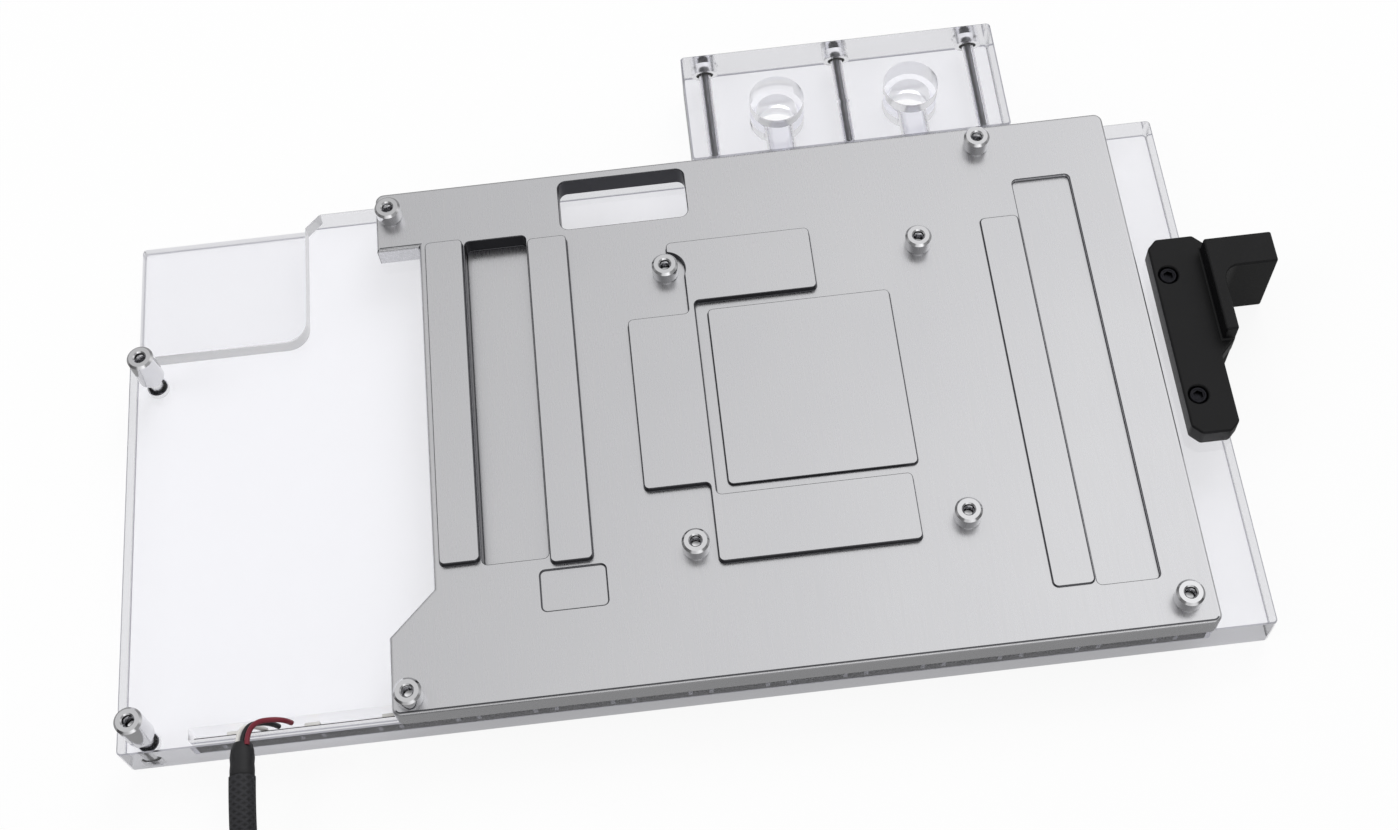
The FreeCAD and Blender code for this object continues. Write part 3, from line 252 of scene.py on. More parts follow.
@dataclass(frozen=True)
class PlainMetal:
    """A small turned, rolled or plated metal piece.

    The tool leaves fine rings or rolling lines, which blur the reflections a little.
    """

    name: str
    colour: str
    roughness: float
    spread: float
    grain_mm: float
    stretch: Point = (1.0, 1.0, 1.0)
    relief_mm: float = 0.02
    strength: float = 0.08

    def shaded(self, tree: NodeTree) -> Node:
        """Adds the shader.

        Args:
            tree: the material's node tree.

        Returns:
            The shader's node.
        """
        grain = grain_of(tree, self.grain_mm, 2.0, self.stretch)
        return add_node(tree, "BsdfPrincipled", {
            "Base Color": srgb(self.colour), "Metallic": 1.0, **worn(tree, grain, self)})


@dataclass(frozen=True)
class PlainPolymer:
    """A moulded, extruded or printed polymer surface.

    Its texture comes from the tool's steel or from the die, and breaks up the highlights.
    """

    name: str
    colour: str
    shade: str
    roughness: float
    refraction: float
    grain_mm: float
    relief_mm: float
    strength: float
    spread: float = 0.05
    patch_grains: float = 20.0

    def shaded(self, tree: NodeTree) -> Node:
        """Adds the shader.

        Args:
            tree: the material's node tree.

        Returns:
            The shader's node.
        """
        grain = grain_of(tree, self.grain_mm, 2.0)
        patch = grain_of(tree, self.grain_mm * self.patch_grains, 1.0)
        colour = add_node(tree, "Mix", {
            0: patch, 6: srgb(self.colour), 7: srgb(self.shade)}, data_type="RGBA")
        return add_node(tree, "BsdfPrincipled", {
            "Base Color": colour, "IOR": self.refraction, **worn(tree, grain, self)})


@dataclass(frozen=True)
class BraidedSleeve:
    """Expandable polyester braid over the lead.

    Its crossed strands give a fine diamond weave that catches the light in rows.
    """

    name: str = "polyester_braid_over_lead"
    strand: str = "26262A"
    gap: str = "0C0C0E"
    strands_round: float = 14.0
    rows_along: float = 900.0
    wave_scale: float = 0.35
    relief_mm: float = 0.15

    def shaded(self, tree: NodeTree) -> Node:
        """Adds the shader.

        Args:
            tree: the material's node tree.

        Returns:
            The shader's node.
        """
        place = add_node(tree, "TexCoord")
        ways = []
        for turn in (1.0, -1.0):
            crossed = add_node(tree, "Mapping", {
                "Vector": place.outputs["UV"],
                "Scale": (self.rows_along, turn * self.strands_round, 1.0)})
            ways.append(add_node(tree, "TexWave", {
                "Vector": crossed, "Scale": self.wave_scale}, bands_direction="DIAGONAL"))
        weave = add_node(tree, "Math", {
            0: ways[0].outputs["Fac"], 1: ways[1].outputs["Fac"]}, operation="MAXIMUM")
        colour = add_node(tree, "Mix", {
            0: weave, 6: srgb(self.gap), 7: srgb(self.strand)}, data_type="RGBA")
        relief = add_node(tree, "Bump", {
            "Height": weave, "Strength": 0.6, "Distance": self.relief_mm * MM})
        return add_node(tree, "BsdfPrincipled", {
            "Base Color": colour, "Roughness": 0.55, "IOR": 1.5,
            "Normal": relief})


class Surface(Enum):
    """The finishes of the block's pieces."""

    PLATE = NickelPlate()
    # The pads' broken edges: a turned-over strip of plating, painted dark grey as a painted reflection of
    # the dark side of the room
    PLATE_EDGE_PAINTED_DARK = NickelPlate("nickel_edges_painted_dark", "66666A", "5C5C60", "3C3C40", 0.2)
    # Deep walls and the pads' own low walls: painted dark grey, a painted shade and dark reflection on them
    PLATE_WALL_PAINTED_DARK = NickelPlate("nickel_walls_painted_dark", "3E3E42", "36363A", "222226", 0.35)
    ACRYLIC = ClearAcrylic()
    # The same sheet seen edge on: light crosses far more of it, so its cool grey tint shows
    EDGE_ACRYLIC = ClearAcrylic("vapour_polished_acrylic_edge", "E0E0E6", 0.04, 1.49, 2.0, 0.08)
    # The front wall as the saw left it: faint ripples, and a deeper grey tint that is painted shade
    SAWN_ACRYLIC_SHADED = ClearAcrylic("sawn_acrylic_edge_shaded", "9C9CA2", 0.12, 1.49, 1.6, 0.3)
    # Edges broken with a scraper: frosted narrow strips, whose grey tint is painted shade that draws a grey
    # outline
    SCRAPED_ACRYLIC = ClearAcrylic("scraped_acrylic_chamfer", "84848E", 0.32, 1.49, 0.5, 0.2)
    # Walls that only a cutter reached: fine tool marks scatter the light, so they read as pale grey
    MILLED_ACRYLIC = ClearAcrylic("milled_acrylic", "E5E5EB", 0.28, 1.49, 0.8, 0.2)
    # The terminal is half as thick again as the cover, so its tint is a little deeper
    BLOCK_ACRYLIC = ClearAcrylic("vapour_polished_thick_acrylic", "E4E4EA", 0.02, 1.49, 2.5, 0.05)
    # Bright nickel over turned brass: sharp reflections with faint turning rings
    STAND_OFF = PlainMetal("bright_nickel_on_turned_brass", "DCDCDE", 0.07, 0.03, 0.3, (1.0, 1.0, 5.0))
    # Black oxide on alloy steel: dark, oily, with a soft shine
    SCREW = PlainMetal("black_oxide_on_steel", "2A2A2E", 0.38, 0.08, 0.35)
    # Cold rolled stainless sheet: a grey shine drawn out along the rolling direction
    JET = PlainMetal("cold_rolled_stainless", "B4B3B0", 0.26, 0.06, 0.5, (0.08, 1.0, 1.0))
    # Tin over brass: pale, dull and slightly yellow
    CONTACT = PlainMetal("tin_plated_brass", "CFC9B4", 0.3, 0.06, 0.3)
    # Solder as it set: bright grey, with a grain too fine to mirror
    SOLDER = PlainMetal("reflowed_solder", "C4C4C6", 0.25, 0.06, 0.3)
    # Glass-filled nylon, moulded with a fine spark finish: black and almost matt
    BRACKET = PlainPolymer("spark_textured_black_nylon", "080809", "0D0D0F", 0.42, 1.34, 0.28, 0.03, 0.3)
    # Connector body: smoother moulding, so a softer and brighter shine
    CONNECTOR = PlainPolymer("moulded_black_nylon", "17171A", "1D1D20", 0.42, 1.53, 0.2, 0.015, 0.2)
    # Moulded ethylene rubber ring: deep black with a dull bloom
    SEAL = PlainPolymer("moulded_black_rubber", "121214", "18181A", 0.62, 1.52, 0.4, 0.03, 0.3)
    # Heat shrunk tube: takes the shape of what it holds, and dulls as it shrinks
    SHRINK = PlainPolymer("heat_shrunk_polyolefin", "101012", "1A1A1D", 0.46, 1.5, 0.6, 0.05, 0.4)
    # Extruded wire insulation, smooth with a soft shine
    WHITE_WIRE = PlainPolymer("white_extruded_insulation", "E6E4E0", "DAD8D4", 0.38, 1.5, 0.5, 0.01, 0.2)
    BLACK_WIRE = PlainPolymer("black_extruded_insulation", "1A1A1C", "202022", 0.38, 1.5, 0.5, 0.01, 0.2)
    RED_WIRE = PlainPolymer("red_extruded_insulation", "74182A", "6A1424", 0.38, 1.5, 0.5, 0.01, 0.2)
    # Solder mask over glass laminate: smooth, with the weave showing faintly
    BOARD = PlainPolymer("black_solder_mask", "0A0A0C", "101012", 0.6, 1.3, 0.35, 0.01, 0.25)
    # Moulded light chip body and its cured resin lens
    CHIP = PlainPolymer("moulded_white_chip_body", "ECEBE6", "E2E1DB", 0.4, 1.5, 0.3, 0.005, 0.2)
    RESIN = PlainPolymer("cured_phosphor_resin", "D9C46A", "CDB65C", 0.2, 1.52, 0.3, 0.005, 0.2)
    BRAID = BraidedSleeve()


FINISHED: dict[Surface, Material] = {}


def finish(surface: Surface) -> Material:
    """The material of a surface, made once.

    Args:
        surface: which finish is wanted.

    Returns:
        The material.
    """
    if surface not in FINISHED:
        FINISHED[surface] = made_of(surface.value.name, surface.value.shaded)
    return FINISHED[surface]


# Meshes

def placed(name: str, data: bpy.types.ID) -> Object:
    """Adds an object to the scene, at the origin.

    Args:
        name: the object's name.
        data: its mesh, curve, camera or lamp.

    Returns:
        The new object.
    """
    piece = bpy.data.objects.new(name, data)
    bpy.context.scene.collection.objects.link(piece)
    return piece


def keep(name: str, work: BMesh, surfaces: Sequence[Surface], node: Optional[str] = None,
         smooth_deg: float = 35.0) -> Object:
    """Turns a bmesh into a piece of the block that rides on its one body.

    Args:
        name: the piece's name.
        work: the finished bmesh, freed here.
        surfaces: the piece's finishes, in slot order.
        node: the CAD node that the piece stands for, if any.
        smooth_deg: edges sharper than this stay sharp.

    Returns:
        The new object.
    """
    mesh = bpy.data.meshes.new(name)
    work.to_mesh(mesh)
    work.free()
    piece = placed(name, mesh)
    for surface in surfaces:
        mesh.materials.append(finish(surface))
    mesh.shade_smooth()
    mesh.set_sharp_from_angle(angle=math.radians(smooth_deg))
    flats = piece.modifiers.new("flat_faces_stay_flat", "WEIGHTED_NORMAL")
    flats.keep_sharp = True
    flats.weight = 100
    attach(piece, "root")
    if node:
        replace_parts(piece, node)
    return piece


def box_of(node: str) -> Box:
    """The lowest and highest corner of a CAD node."""
    low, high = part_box(node)
    return Vector(low), Vector(high)


def copied(node: str) -> BMesh:
    """A merged copy of a CAD node, with its flat faces made whole.

    Args:
        node: the CAD node's name.

    Returns:
        The bmesh.
    """
    work = bmesh.new()
    work.from_mesh(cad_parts[node].data)
    bmesh.ops.remove_doubles(work, verts=work.verts, dist=MERGED)
    bmesh.ops.dissolve_limit(work, angle_limit=math.radians(0.3), verts=work.verts, edges=work.edges,
                             delimit={"NORMAL"})
    return work


def solids_of(node: str) -> list[Box]:
    """The boxes of the separate solids in one CAD node.

    Args:
        node: the CAD node's name.

    Returns:
        Lowest and highest corner of each solid, sorted by X and then Y.
    """
    work = copied(node)
    boxes = []
    left = set(work.verts)
    while left:
        reached = [left.pop()]
        shell = []
        while reached:
            vertex = reached.pop()
            shell.append(vertex.co)
            fresh = {edge.other_vert(vertex) for edge in vertex.link_edges} & left
            left -= fresh
            reached += fresh
        boxes.append((Vector([min(place[i] for place in shell) for i in range(3)]),
                      Vector([max(place[i] for place in shell) for i in range(3)])))
    work.free()
    return sorted(boxes, key=lambda pair: (round(pair[0].x, 4), round(pair[0].y, 4)))


def sharp_edges(work: BMesh, least_deg: float = 30.0, test: Optional[EdgeTest] = None) -> list[BMEdge]:
    """The edges whose faces meet at more than an angle.

    Args:
        work: the bmesh to look through.
        least_deg: the least angle between the two faces.
        test: a further test for each edge.

    Returns:
        The edges found.
    """
    return [edge for edge in work.edges
            if len(edge.link_faces) == 2 and edge.calc_face_angle(0.0) > math.radians(least_deg)
            and (test is None or test(edge))]


def bevel(work: BMesh, edges: Sequence[BMEdge], width_mm: float,
          segments: int = 1, clamp: bool = True) -> list[BMFace]:
    """Takes the sharpness off some edges.

    Args:
        work: the bmesh to change.
        edges: the edges to bevel.
        width_mm: how far the bevel reaches along each face.
        segments: faces across the bevel.
        clamp: whether the shortest edge may narrow every bevel.

    Returns:
        The new faces.
    """
    made = bmesh.ops.bevel(work, geom=list(edges), offset=width_mm * MM, offset_type="OFFSET",
                           segments=segments, profile=0.5, affect="EDGES", clamp_overlap=clamp, material=-1)
    return made["faces"]


def dressed(node: str, surface: Surface, width_mm: float, segments: int = 1,
            clamp: bool = True) -> Object:
    """The node's own shape with its sharp edges broken, as a real machined or moulded piece has them.

    Args:
        node: the CAD node to stand for.
        surface: the piece's finish.
        width_mm: the bevel's width.
        segments: faces across the bevel.
        clamp: whether the shortest edge may narrow every bevel.

    Returns:
        The new piece.
    """
    work = copied(node)
    bevel(work, sharp_edges(work), width_mm, segments, clamp)
    return keep(node + "_dressed", work, [surface], node)


def boxed(low: Vector, high: Vector) -> BMesh:
    """A box between two corners.

    Args:
        low: lowest corner.
        high: highest corner.

    Returns:
        The bmesh.
    """
    work = bmesh.new()
    bmesh.ops.create_cube(work, size=1.0)
    bmesh.ops.scale(work, vec=high - low, verts=work.verts)
    bmesh.ops.translate(work, vec=(low + high) / 2.0, verts=work.verts)
    return work


def turned(profile: Sequence[tuple[float, float]], steps: int = 48) -> BMesh:
    """A closed piece turned about Z by a full spin.

    Args:
        profile: radius and height pairs in metres, from the axis round to the axis.
        steps: faces round the piece.

    Returns:
        The bmesh.
    """
    work = bmesh.new()
    points = [work.verts.new((radius, 0.0, height)) for radius, height in profile]
    edges = [work.edges.new(pair) for pair in zip(points, points[1:])]
    if profile[0][0] > 0.0:
        edges.append(work.edges.new((points[-1], points[0])))
    bmesh.ops.spin(work, geom=points + edges, cent=(0, 0, 0), axis=(0, 0, 1), dvec=(0, 0, 0),
                   angle=math.tau, steps=steps, use_merge=True, use_normal_flip=False, use_duplicate=False)
    bmesh.ops.remove_doubles(work, verts=work.verts, dist=MERGED)
    bmesh.ops.recalc_face_normals(work, faces=work.faces)
    return work


def moved(work: BMesh, matrix: Matrix) -> BMesh:
    """Moves a whole bmesh, and returns it."""
    bmesh.ops.transform(work, matrix=matrix, verts=work.verts)
    return work


def gathered(parts: Sequence[BMesh]) -> BMesh:
    """Joins several bmeshes into the first of them.

    Args:
        parts: the bmeshes, all but the first freed here.

    Returns:
        The first bmesh, holding everything.
    """
    whole = parts[0]
    for part in parts[1:]:
        spare = bpy.data.meshes.new("spare")
        part.to_mesh(spare)
        part.free()
        whole.from_mesh(spare)
        bpy.data.meshes.remove(spare)
    return whole


def paint(faces: Sequence[BMFace], index: int) -> None:
    """Gives some faces one material slot."""
    for face in faces:
        face.material_index = index


def drawn_up(work: BMesh, edges: Sequence[BMEdge]) -> list[BMVert]:
    """Extrudes a loop of edges in place, and returns its new points."""
    made = bmesh.ops.extrude_edge_only(work, edges=edges)["geom"]
    return [part for part in made if isinstance(part, BMVert)]


# Sub-assemblies

@dataclass(frozen=True)
class HexSocketScrew:
    """A cap screw: turned head and shank, six-sided socket and rolled thread."""

    thread_r: float = 1.25 * MM
    thread_depth: float = 0.16 * MM
    pitch: float = 0.5 * MM
    to_root: float = 0.18 * MM  # from the start of a turn to its root, and to its crest
    to_crest: float = 0.4 * MM
    first_turn: float = 0.2 * MM
    unthreaded: float = 0.6 * MM
    into_head: float = 0.3 * MM
    tip: float = 0.1 * MM
    head_r: float = 2.2 * MM
    head_h: float = 2.4 * MM
    head_edge: float = 0.25 * MM
    seat_edge: float = 0.1 * MM
    key: float = 2.0 * MM
    key_depth: float = 1.3 * MM
    key_lip: float = 0.1 * MM
    lip_spread: float = 1.35
    mouth_share: float = 0.72  # the opening's radius over the key's width
    core_share: float = 0.9  # the radius inside the head over the thread's

    def head(self) -> BMesh:
        """The head with its socket, seat at the origin and top upwards.

        Returns:
            The bmesh.
        """
        mouth = self.key * self.mouth_share
        core = self.thread_r * self.core_share
        wall = turned([
            (mouth, self.head_h), (self.head_r - self.head_edge, self.head_h),
            (self.head_r, self.head_h - self.head_edge), (self.head_r, self.seat_edge),
            (self.head_r - self.seat_edge, 0.0), (core, 0.0), (core, 2.0 * self.seat_edge),
            (mouth, self.head_h - 2.0 * self.key_lip)])
        socket = bmesh.new()
        bmesh.ops.create_circle(socket, cap_ends=True, segments=6, radius=self.key / math.sqrt(3.0))
        bmesh.ops.translate(socket, verts=socket.verts, vec=(0, 0, self.head_h - self.key_depth))
        rim = drawn_up(socket, list(socket.edges))
        bmesh.ops.translate(socket, verts=rim, vec=(0, 0, self.key_depth - 1.2 * self.key_lip))
        lip = drawn_up(socket, [edge for edge in socket.edges if all(v in rim for v in edge.verts)])
        bmesh.ops.scale(socket, vec=(self.lip_spread, self.lip_spread, 1.0), verts=lip)
        bmesh.ops.translate(socket, verts=lip, vec=(0, 0, self.key_lip))
        return gathered([wall, socket])

    def shank(self, length: float, smooth: float) -> BMesh:
        """The threaded shank below the seat.

        Args:
            length: shank length under the head.
            smooth: plain length under the head.

        Returns:
            The bmesh.
        """
        root = self.thread_r - self.thread_depth
        # The shank reaches a little into the head, so no gap shows between them
        profile = [(0.0, self.into_head), (self.thread_r * self.core_share, self.into_head),
                   (self.thread_r, -0.5 * self.tip), (self.thread_r, -smooth - self.tip)]
        for row in range(int((length - smooth - self.unthreaded) / self.pitch)):
            level = -smooth - self.first_turn - row * self.pitch
            profile += [(root, level - self.to_root), (self.thread_r, level - self.to_crest)]
        profile += [(root, self.tip - length), (root - 1.5 * self.tip, -length), (0.0, -length)]
        return turned(profile, 24)

    def whole(self, length: float, smooth: float) -> BMesh:
        """Head and shank together."""
        return gathered([self.head(), self.shank(length, smooth)])


@dataclass(frozen=True)
class StandOff:
    """A turned stand-off: broken edges, a threaded hole and, on the low ones, a stub in the plate."""

    height: float = 4.0 * MM
    hole_depth: float = 3.9 * MM
    stub: float = 3.2 * MM
    stub_r: float = 2.0 * MM
    foot_edge: float = 0.2 * MM
    radius: float = 3.0 * MM
    edge: float = 0.5 * MM
    seat_edge: float = 0.35 * MM
    hole_r: float = 1.25 * MM
    drill_share: float = 0.8  # the radius of the hole's flat end over the hole's
    drill_edge: float = 0.1 * MM
    mouth: float = 0.3 * MM
    pitch: float = 0.5 * MM
    groove: float = 0.12 * MM
    crest: float = 0.08 * MM

    def shape(self) -> BMesh:
        """One stand-off with its seat at the origin.

        Returns:
            The bmesh.
        """
        bottom = self.height - self.hole_depth
        profile = [(0.0, bottom), (self.hole_r * self.drill_share, bottom + self.drill_edge)]
        level = bottom + self.mouth
        while level < self.height - self.mouth - self.pitch:
            profile += [(self.hole_r + self.groove, level),
                        (self.hole_r - self.crest, level + self.pitch / 2.0)]
            level += self.pitch
        profile += [
            (self.hole_r, self.height - self.mouth), (self.hole_r + self.mouth, self.height),
            (self.radius - self.edge, self.height), (self.radius, self.height - self.edge),
            (self.radius, self.seat_edge), (self.radius - self.foot_edge, 0.0)]
        if self.stub > 0.0:
            profile += [(self.stub_r, 0.0), (self.stub_r, self.foot_edge - self.stub),
                        (self.stub_r - self.foot_edge, -self.stub), (0.0, -self.stub)]
        else:
            profile.append((0.0, 0.0))
        return turned(profile)

    def place_all(self, node: str) -> Object:
        """Every stand-off of a CAD node.

        Args:
            node: the CAD node whose solids say where they are.

        Returns:
            The piece.
        """
        parts = []
        for low, high in solids_of(node):
            seat = (low + high) / 2.0
            seat.z = high.z - self.height
            parts.append(moved(self.shape(), Matrix.Translation(seat)))
        return keep(node + "_turned", gathered(parts), [Surface.STAND_OFF], node)


@dataclass
class ContactPlate:
    """The nickel-plated plate with its pads, trench and window."""

    edge_mm: float = 0.18
    rim_mm: float = 0.8
    deep_mm: float = 2.5
    first_step_rise: float = 0.93  # only the rim's first step rises more than this
    forward_lean: float = 0.1
    coolant_deep_mm: float = 0.05
    rounded_deg: float = 50.0  # edges under this are rounded already

    def build(self) -> list[Object]:
        """Rounds the plate's rim and its pads, leaving the fins' own edges sharp.

        Returns:
            The piece.
        """
        coolant_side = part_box("cold_plate")[0][2] + self.coolant_deep_mm * MM
        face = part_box("plate_stand_offs")[1][2] - StandOff().height
        work = copied("cold_plate")
        solid = BVHTree.FromBMesh(work)
        inner = {part for part in work.faces
                 if self.is_wall(part, face) and self.is_enclosed(part, solid)}
        # Walls inside the trench and window, and the pads' low walls, get the dark-painted wall finish:
        # painted shade and dark reflection
        paint([part for part in work.faces if part in inner or self.is_step(part, face)], 2)

        def on_rim(edge: BMEdge) -> bool:
            """Whether an edge lies in the main face, along the plate's outline."""
            flat = all(abs(v.co.z - face) <= LEVEL for v in edge.verts)
            return flat and any(self.is_wall(part, face) and part not in inner for part in edge.link_faces)

        # The rim's first step towards the front gets the dark-painted edge finish, a painted reflection of
        # the room's dark side, and draws a thin line
        for part in bevel(work, sharp_edges(work, test=on_rim), self.rim_mm, 4, clamp=False):
            leans = part.normal.z > self.first_step_rise and part.normal.y < -self.forward_lean
            part.material_index = 1 if leans else 0

        def outside(edge: BMEdge) -> bool:
            """Skips the fins and holes on the coolant side, and what is rounded already."""
            return max(v.co.z for v in edge.verts) > coolant_side

        pads = sharp_edges(work, self.rounded_deg, outside)
        # The pads' broken edges get the dark-painted edge finish: a painted reflection of the room's dark
        # side
        paint(bevel(work, pads, self.edge_mm, 2, clamp=False), 1)
        surfaces = [Surface.PLATE, Surface.PLATE_EDGE_PAINTED_DARK, Surface.PLATE_WALL_PAINTED_DARK]
        return [keep("cold_plate_dressed", work, surfaces, "cold_plate")]

    def is_wall(self, part: BMFace, face: float) -> bool:
        """Whether a face is a deep wall: upright, and crossing the level well below the main face."""
        heights = [v.co.z for v in part.verts]
        return abs(part.normal.z) < UPRIGHT and min(heights) < face - self.deep_mm * MM < max(heights)

    def is_step(self, part: BMFace, face: float) -> bool:
        """Whether a face is the low upright wall of a pad, strip or rail, standing on the main face."""
        return abs(part.normal.z) < UPRIGHT and min(v.co.z for v in part.verts) > face - LEVEL

    def is_enclosed(self, part: BMFace, solid: BVHTree) -> bool:
        """Whether a wall is inside a trench or window: the plate is met again on all its four sides."""
        start = part.calc_center_median() + part.normal * 0.1 * MM
        return all(solid.ray_cast(start, way)[0] is not None for way in SIDES)


@dataclass
class ClearBody:
    """The acrylic cover and its port terminal, their edges broken and polished."""

    cover_edge_mm: float = 0.3
    terminal_edge_mm: float = 0.4
    near_mm: float = 2.5

    def build(self) -> list[Object]:
        """Dresses cover and terminal; the thin wall before the light strip is polished inside too."""
        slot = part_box("light_board")[0][1]
        return [
            self.polished("clear_cover", self.cover_edge_mm, Surface.ACRYLIC, lambda y: y < slot),
            self.polished("port_terminal", self.terminal_edge_mm, Surface.BLOCK_ACRYLIC, lambda y: False)]

    def polished(self, node: str, width_mm: float, clear: Surface,
                 polished_at: Callable[[float], bool]) -> Object:
        """Breaks the outer edges, and gives broad faces, outer walls and cut walls their own finishes.

        Args:
            node: the CAD node to stand for.
            width_mm: the chamfer's width.
            clear: the finish of the broad faces.
            polished_at: whether a cut wall at this Y is polished too.

        Returns:
            The piece.
        """
        surfaces = [clear, Surface.EDGE_ACRYLIC, Surface.MILLED_ACRYLIC, Surface.SAWN_ACRYLIC_SHADED,
                    Surface.SCRAPED_ACRYLIC]
        low, high = box_of(node)
        centre = (low + high) / 2.0
        work = copied(node)
        for face in work.faces:
            place = face.calc_center_median()
            outer = [min(abs(place[i] - low[i]), abs(place[i] - high[i])) < LEVEL for i in range(3)]
            if outer[2] or (not any(outer) and polished_at(place.y)):
                chosen = clear
            # The front wall gets the sawn finish, whose grey tint is painted shade
            elif outer[1] and face.normal.y < 0.0:
                chosen = Surface.SAWN_ACRYLIC_SHADED
            else:
                chosen = Surface.EDGE_ACRYLIC if any(outer) else Surface.MILLED_ACRYLIC
            face.material_index = surfaces.index(chosen)

        def on_outside(part: BMFace) -> bool:
            """Whether a face is on the block's outside: a broad face, or a wall near its own box side.

            Args:
                part: the face.

            Returns:
                True for a face on the outside.
            """
            place = part.calc_center_median()
            off = [min(abs(place[i] - low[i]), abs(place[i] - high[i])) for i in range(3)]
            if abs(part.normal.z) > 0.5:
                return off[2] < LEVEL
            return min(off[:2]) < self.near_mm * MM and part.normal.dot(place - centre) > 0.0

        def on_outline(edge: BMEdge) -> bool:
            """Whether an edge lies between two faces of the block's outside."""
            return all(on_outside(part) for part in edge.link_faces)

        broken = bevel(work, sharp_edges(work, test=on_outline), width_mm, clamp=False)
        # The broken edges take the scraped finish, whose grey tint is a painted shade outline
        paint(broken, surfaces.index(Surface.SCRAPED_ACRYLIC))
        return keep(node + "_polished", work, surfaces, node)


@dataclass
class Seals:
    """The rubber rings, drawn as moulded cords pressed into their grooves, and the jet plate."""

    main_round_mm: float = 0.5
    port_round_mm: float = 0.35
    jet_edge_mm: float = 0.08

    def build(self) -> list[Object]:
        """Rounds the three rings and breaks the jet plate's edges."""
        return [
            dressed("main_seal", Surface.SEAL, self.main_round_mm, 3),
            dressed("port_seal_left", Surface.SEAL, self.port_round_mm, 3),
            dressed("port_seal_right", Surface.SEAL, self.port_round_mm, 3),
            dressed("jet_plate", Surface.JET, self.jet_edge_mm)]


class Facing(Enum):
    """Which way a screw's head faces: the angle that it is turned about X from facing up."""

    DOWN = math.pi
    UP = 0.0
    BACK = -math.pi / 2.0


@dataclass
class Fasteners:
    """Stand-offs and screws, each placed from its CAD solid."""

    low: StandOff = StandOff()
    tall: StandOff = StandOff(height=9.5 * MM, hole_depth=4.6 * MM, stub=0.0)
    screw: HexSocketScrew = HexSocketScrew()
    flat_screw: HexSocketScrew = HexSocketScrew(head_r=2.0 * MM, head_h=1.7 * MM, key_depth=1.0 * MM)
    cover_smooth: float = 3.0 * MM
    terminal_smooth: float = 20.0 * MM

    def screws(self, node: str, facing: Facing, shape: HexSocketScrew, smooth: float) -> Object:
        """Every screw of a CAD node.

        Args:
            node: the CAD node's name.
            facing: which way the heads face.
            shape: the screw's own sizes.
            smooth: plain shank under the head.

        Returns:
            The piece.
        """
        along = 1 if facing is Facing.BACK else 2
        parts = []
        for low, high in solids_of(node):
            seat = (low + high) / 2.0
            down = facing is Facing.DOWN
            seat[along] = low[along] + shape.head_h if down else high[along] - shape.head_h
            place = Matrix.Translation(seat) @ Matrix.Rotation(facing.value, 4, "X")
            parts.append(moved(shape.whole(high[along] - low[along] - shape.head_h, smooth), place))
        return keep(node + "_threaded", gathered(parts), [Surface.SCREW], node)

    def build(self) -> list[Object]:
        """Makes all the stand-offs and screws."""
        return [
            self.low.place_all("core_stand_offs"),
            self.low.place_all("plate_stand_offs"),
            self.tall.place_all("cover_stand_offs"),
            self.screws("cover_screws", Facing.DOWN, self.screw, self.cover_smooth),
            self.screws("stand_off_screws", Facing.DOWN, self.screw, self.cover_smooth),
            self.screws("terminal_screws", Facing.BACK, self.screw, self.terminal_smooth),
            self.screws("bracket_screws", Facing.UP, self.flat_screw, 0.0)]


@dataclass
class SupportBracket:
    """The moulded bracket at the right end."""

    round_mm: float = 0.5

    def build(self) -> list[Object]:
        """Dresses the bracket."""
        return [dressed("support_bracket", Surface.BRACKET, self.round_mm, 3, clamp=False)]


@dataclass
class LightStrip:
    """The strip board with its chips, in the slot along the front edge."""

    board_edge_mm: float = 0.05
    chip_edge_mm: float = 0.08
    lens_share: float = 0.62
    lens_sunk: float = 0.25 * MM
    pad: float = 0.9 * MM
    pad_gap: float = 0.18 * MM
    pad_proud: float = 0.06 * MM
    pad_inset: float = 0.3 * MM

    def board(self) -> Object:
        """The board with a solder pad each side of every chip, showing on both faces.

        Returns:
            The piece.
        """
        low, high = box_of("light_board")
        work = boxed(low, high)
        bevel(work, sharp_edges(work), self.board_edge_mm)
        parts = [work]
        for chip_low, chip_high in solids_of("light_chips"):
            for side in (chip_low.x - self.pad - self.pad_gap, chip_high.x + self.pad_gap):
                parts.append(boxed(
                    Vector((side, low.y - self.pad_proud, chip_low.z + self.pad_inset)),
                    Vector((side + self.pad, high.y + self.pad_proud, chip_high.z - self.pad_inset))))
                paint(parts[-1].faces, 1)
        surfaces = [Surface.BOARD, Surface.SOLDER]
        return keep("light_board_dressed", gathered(parts), surfaces, "light_board")

    def chip(self, low: Vector, high: Vector) -> BMesh:
        """One chip: a white body with a sunk resin lens facing into the cover.

        Args:
            low: the chip's lowest corner.
            high: the chip's highest corner.

        Returns:
            The bmesh.
        """
        work = boxed(low, high)
        front = max(work.faces, key=lambda face: face.calc_center_median().y)
        border = (high.z - low.z) * (1.0 - self.lens_share) / 2.0
        bmesh.ops.inset_region(work, faces=[front], thickness=border)
        bmesh.ops.translate(work, vec=(0.0, -self.lens_sunk, 0.0), verts=front.verts)
        front.material_index = 1
        bevel(work, [e for e in sharp_edges(work) if front not in e.link_faces], self.chip_edge_mm)
        return work

    def build(self) -> list[Object]:
        """Makes the board and its chips."""
        chips = gathered([self.chip(low, high) for low, high in solids_of("light_chips")])
        return [self.board(),
                keep("light_chips_dressed", chips, [Surface.CHIP, Surface.RESIN], "light_chips")]


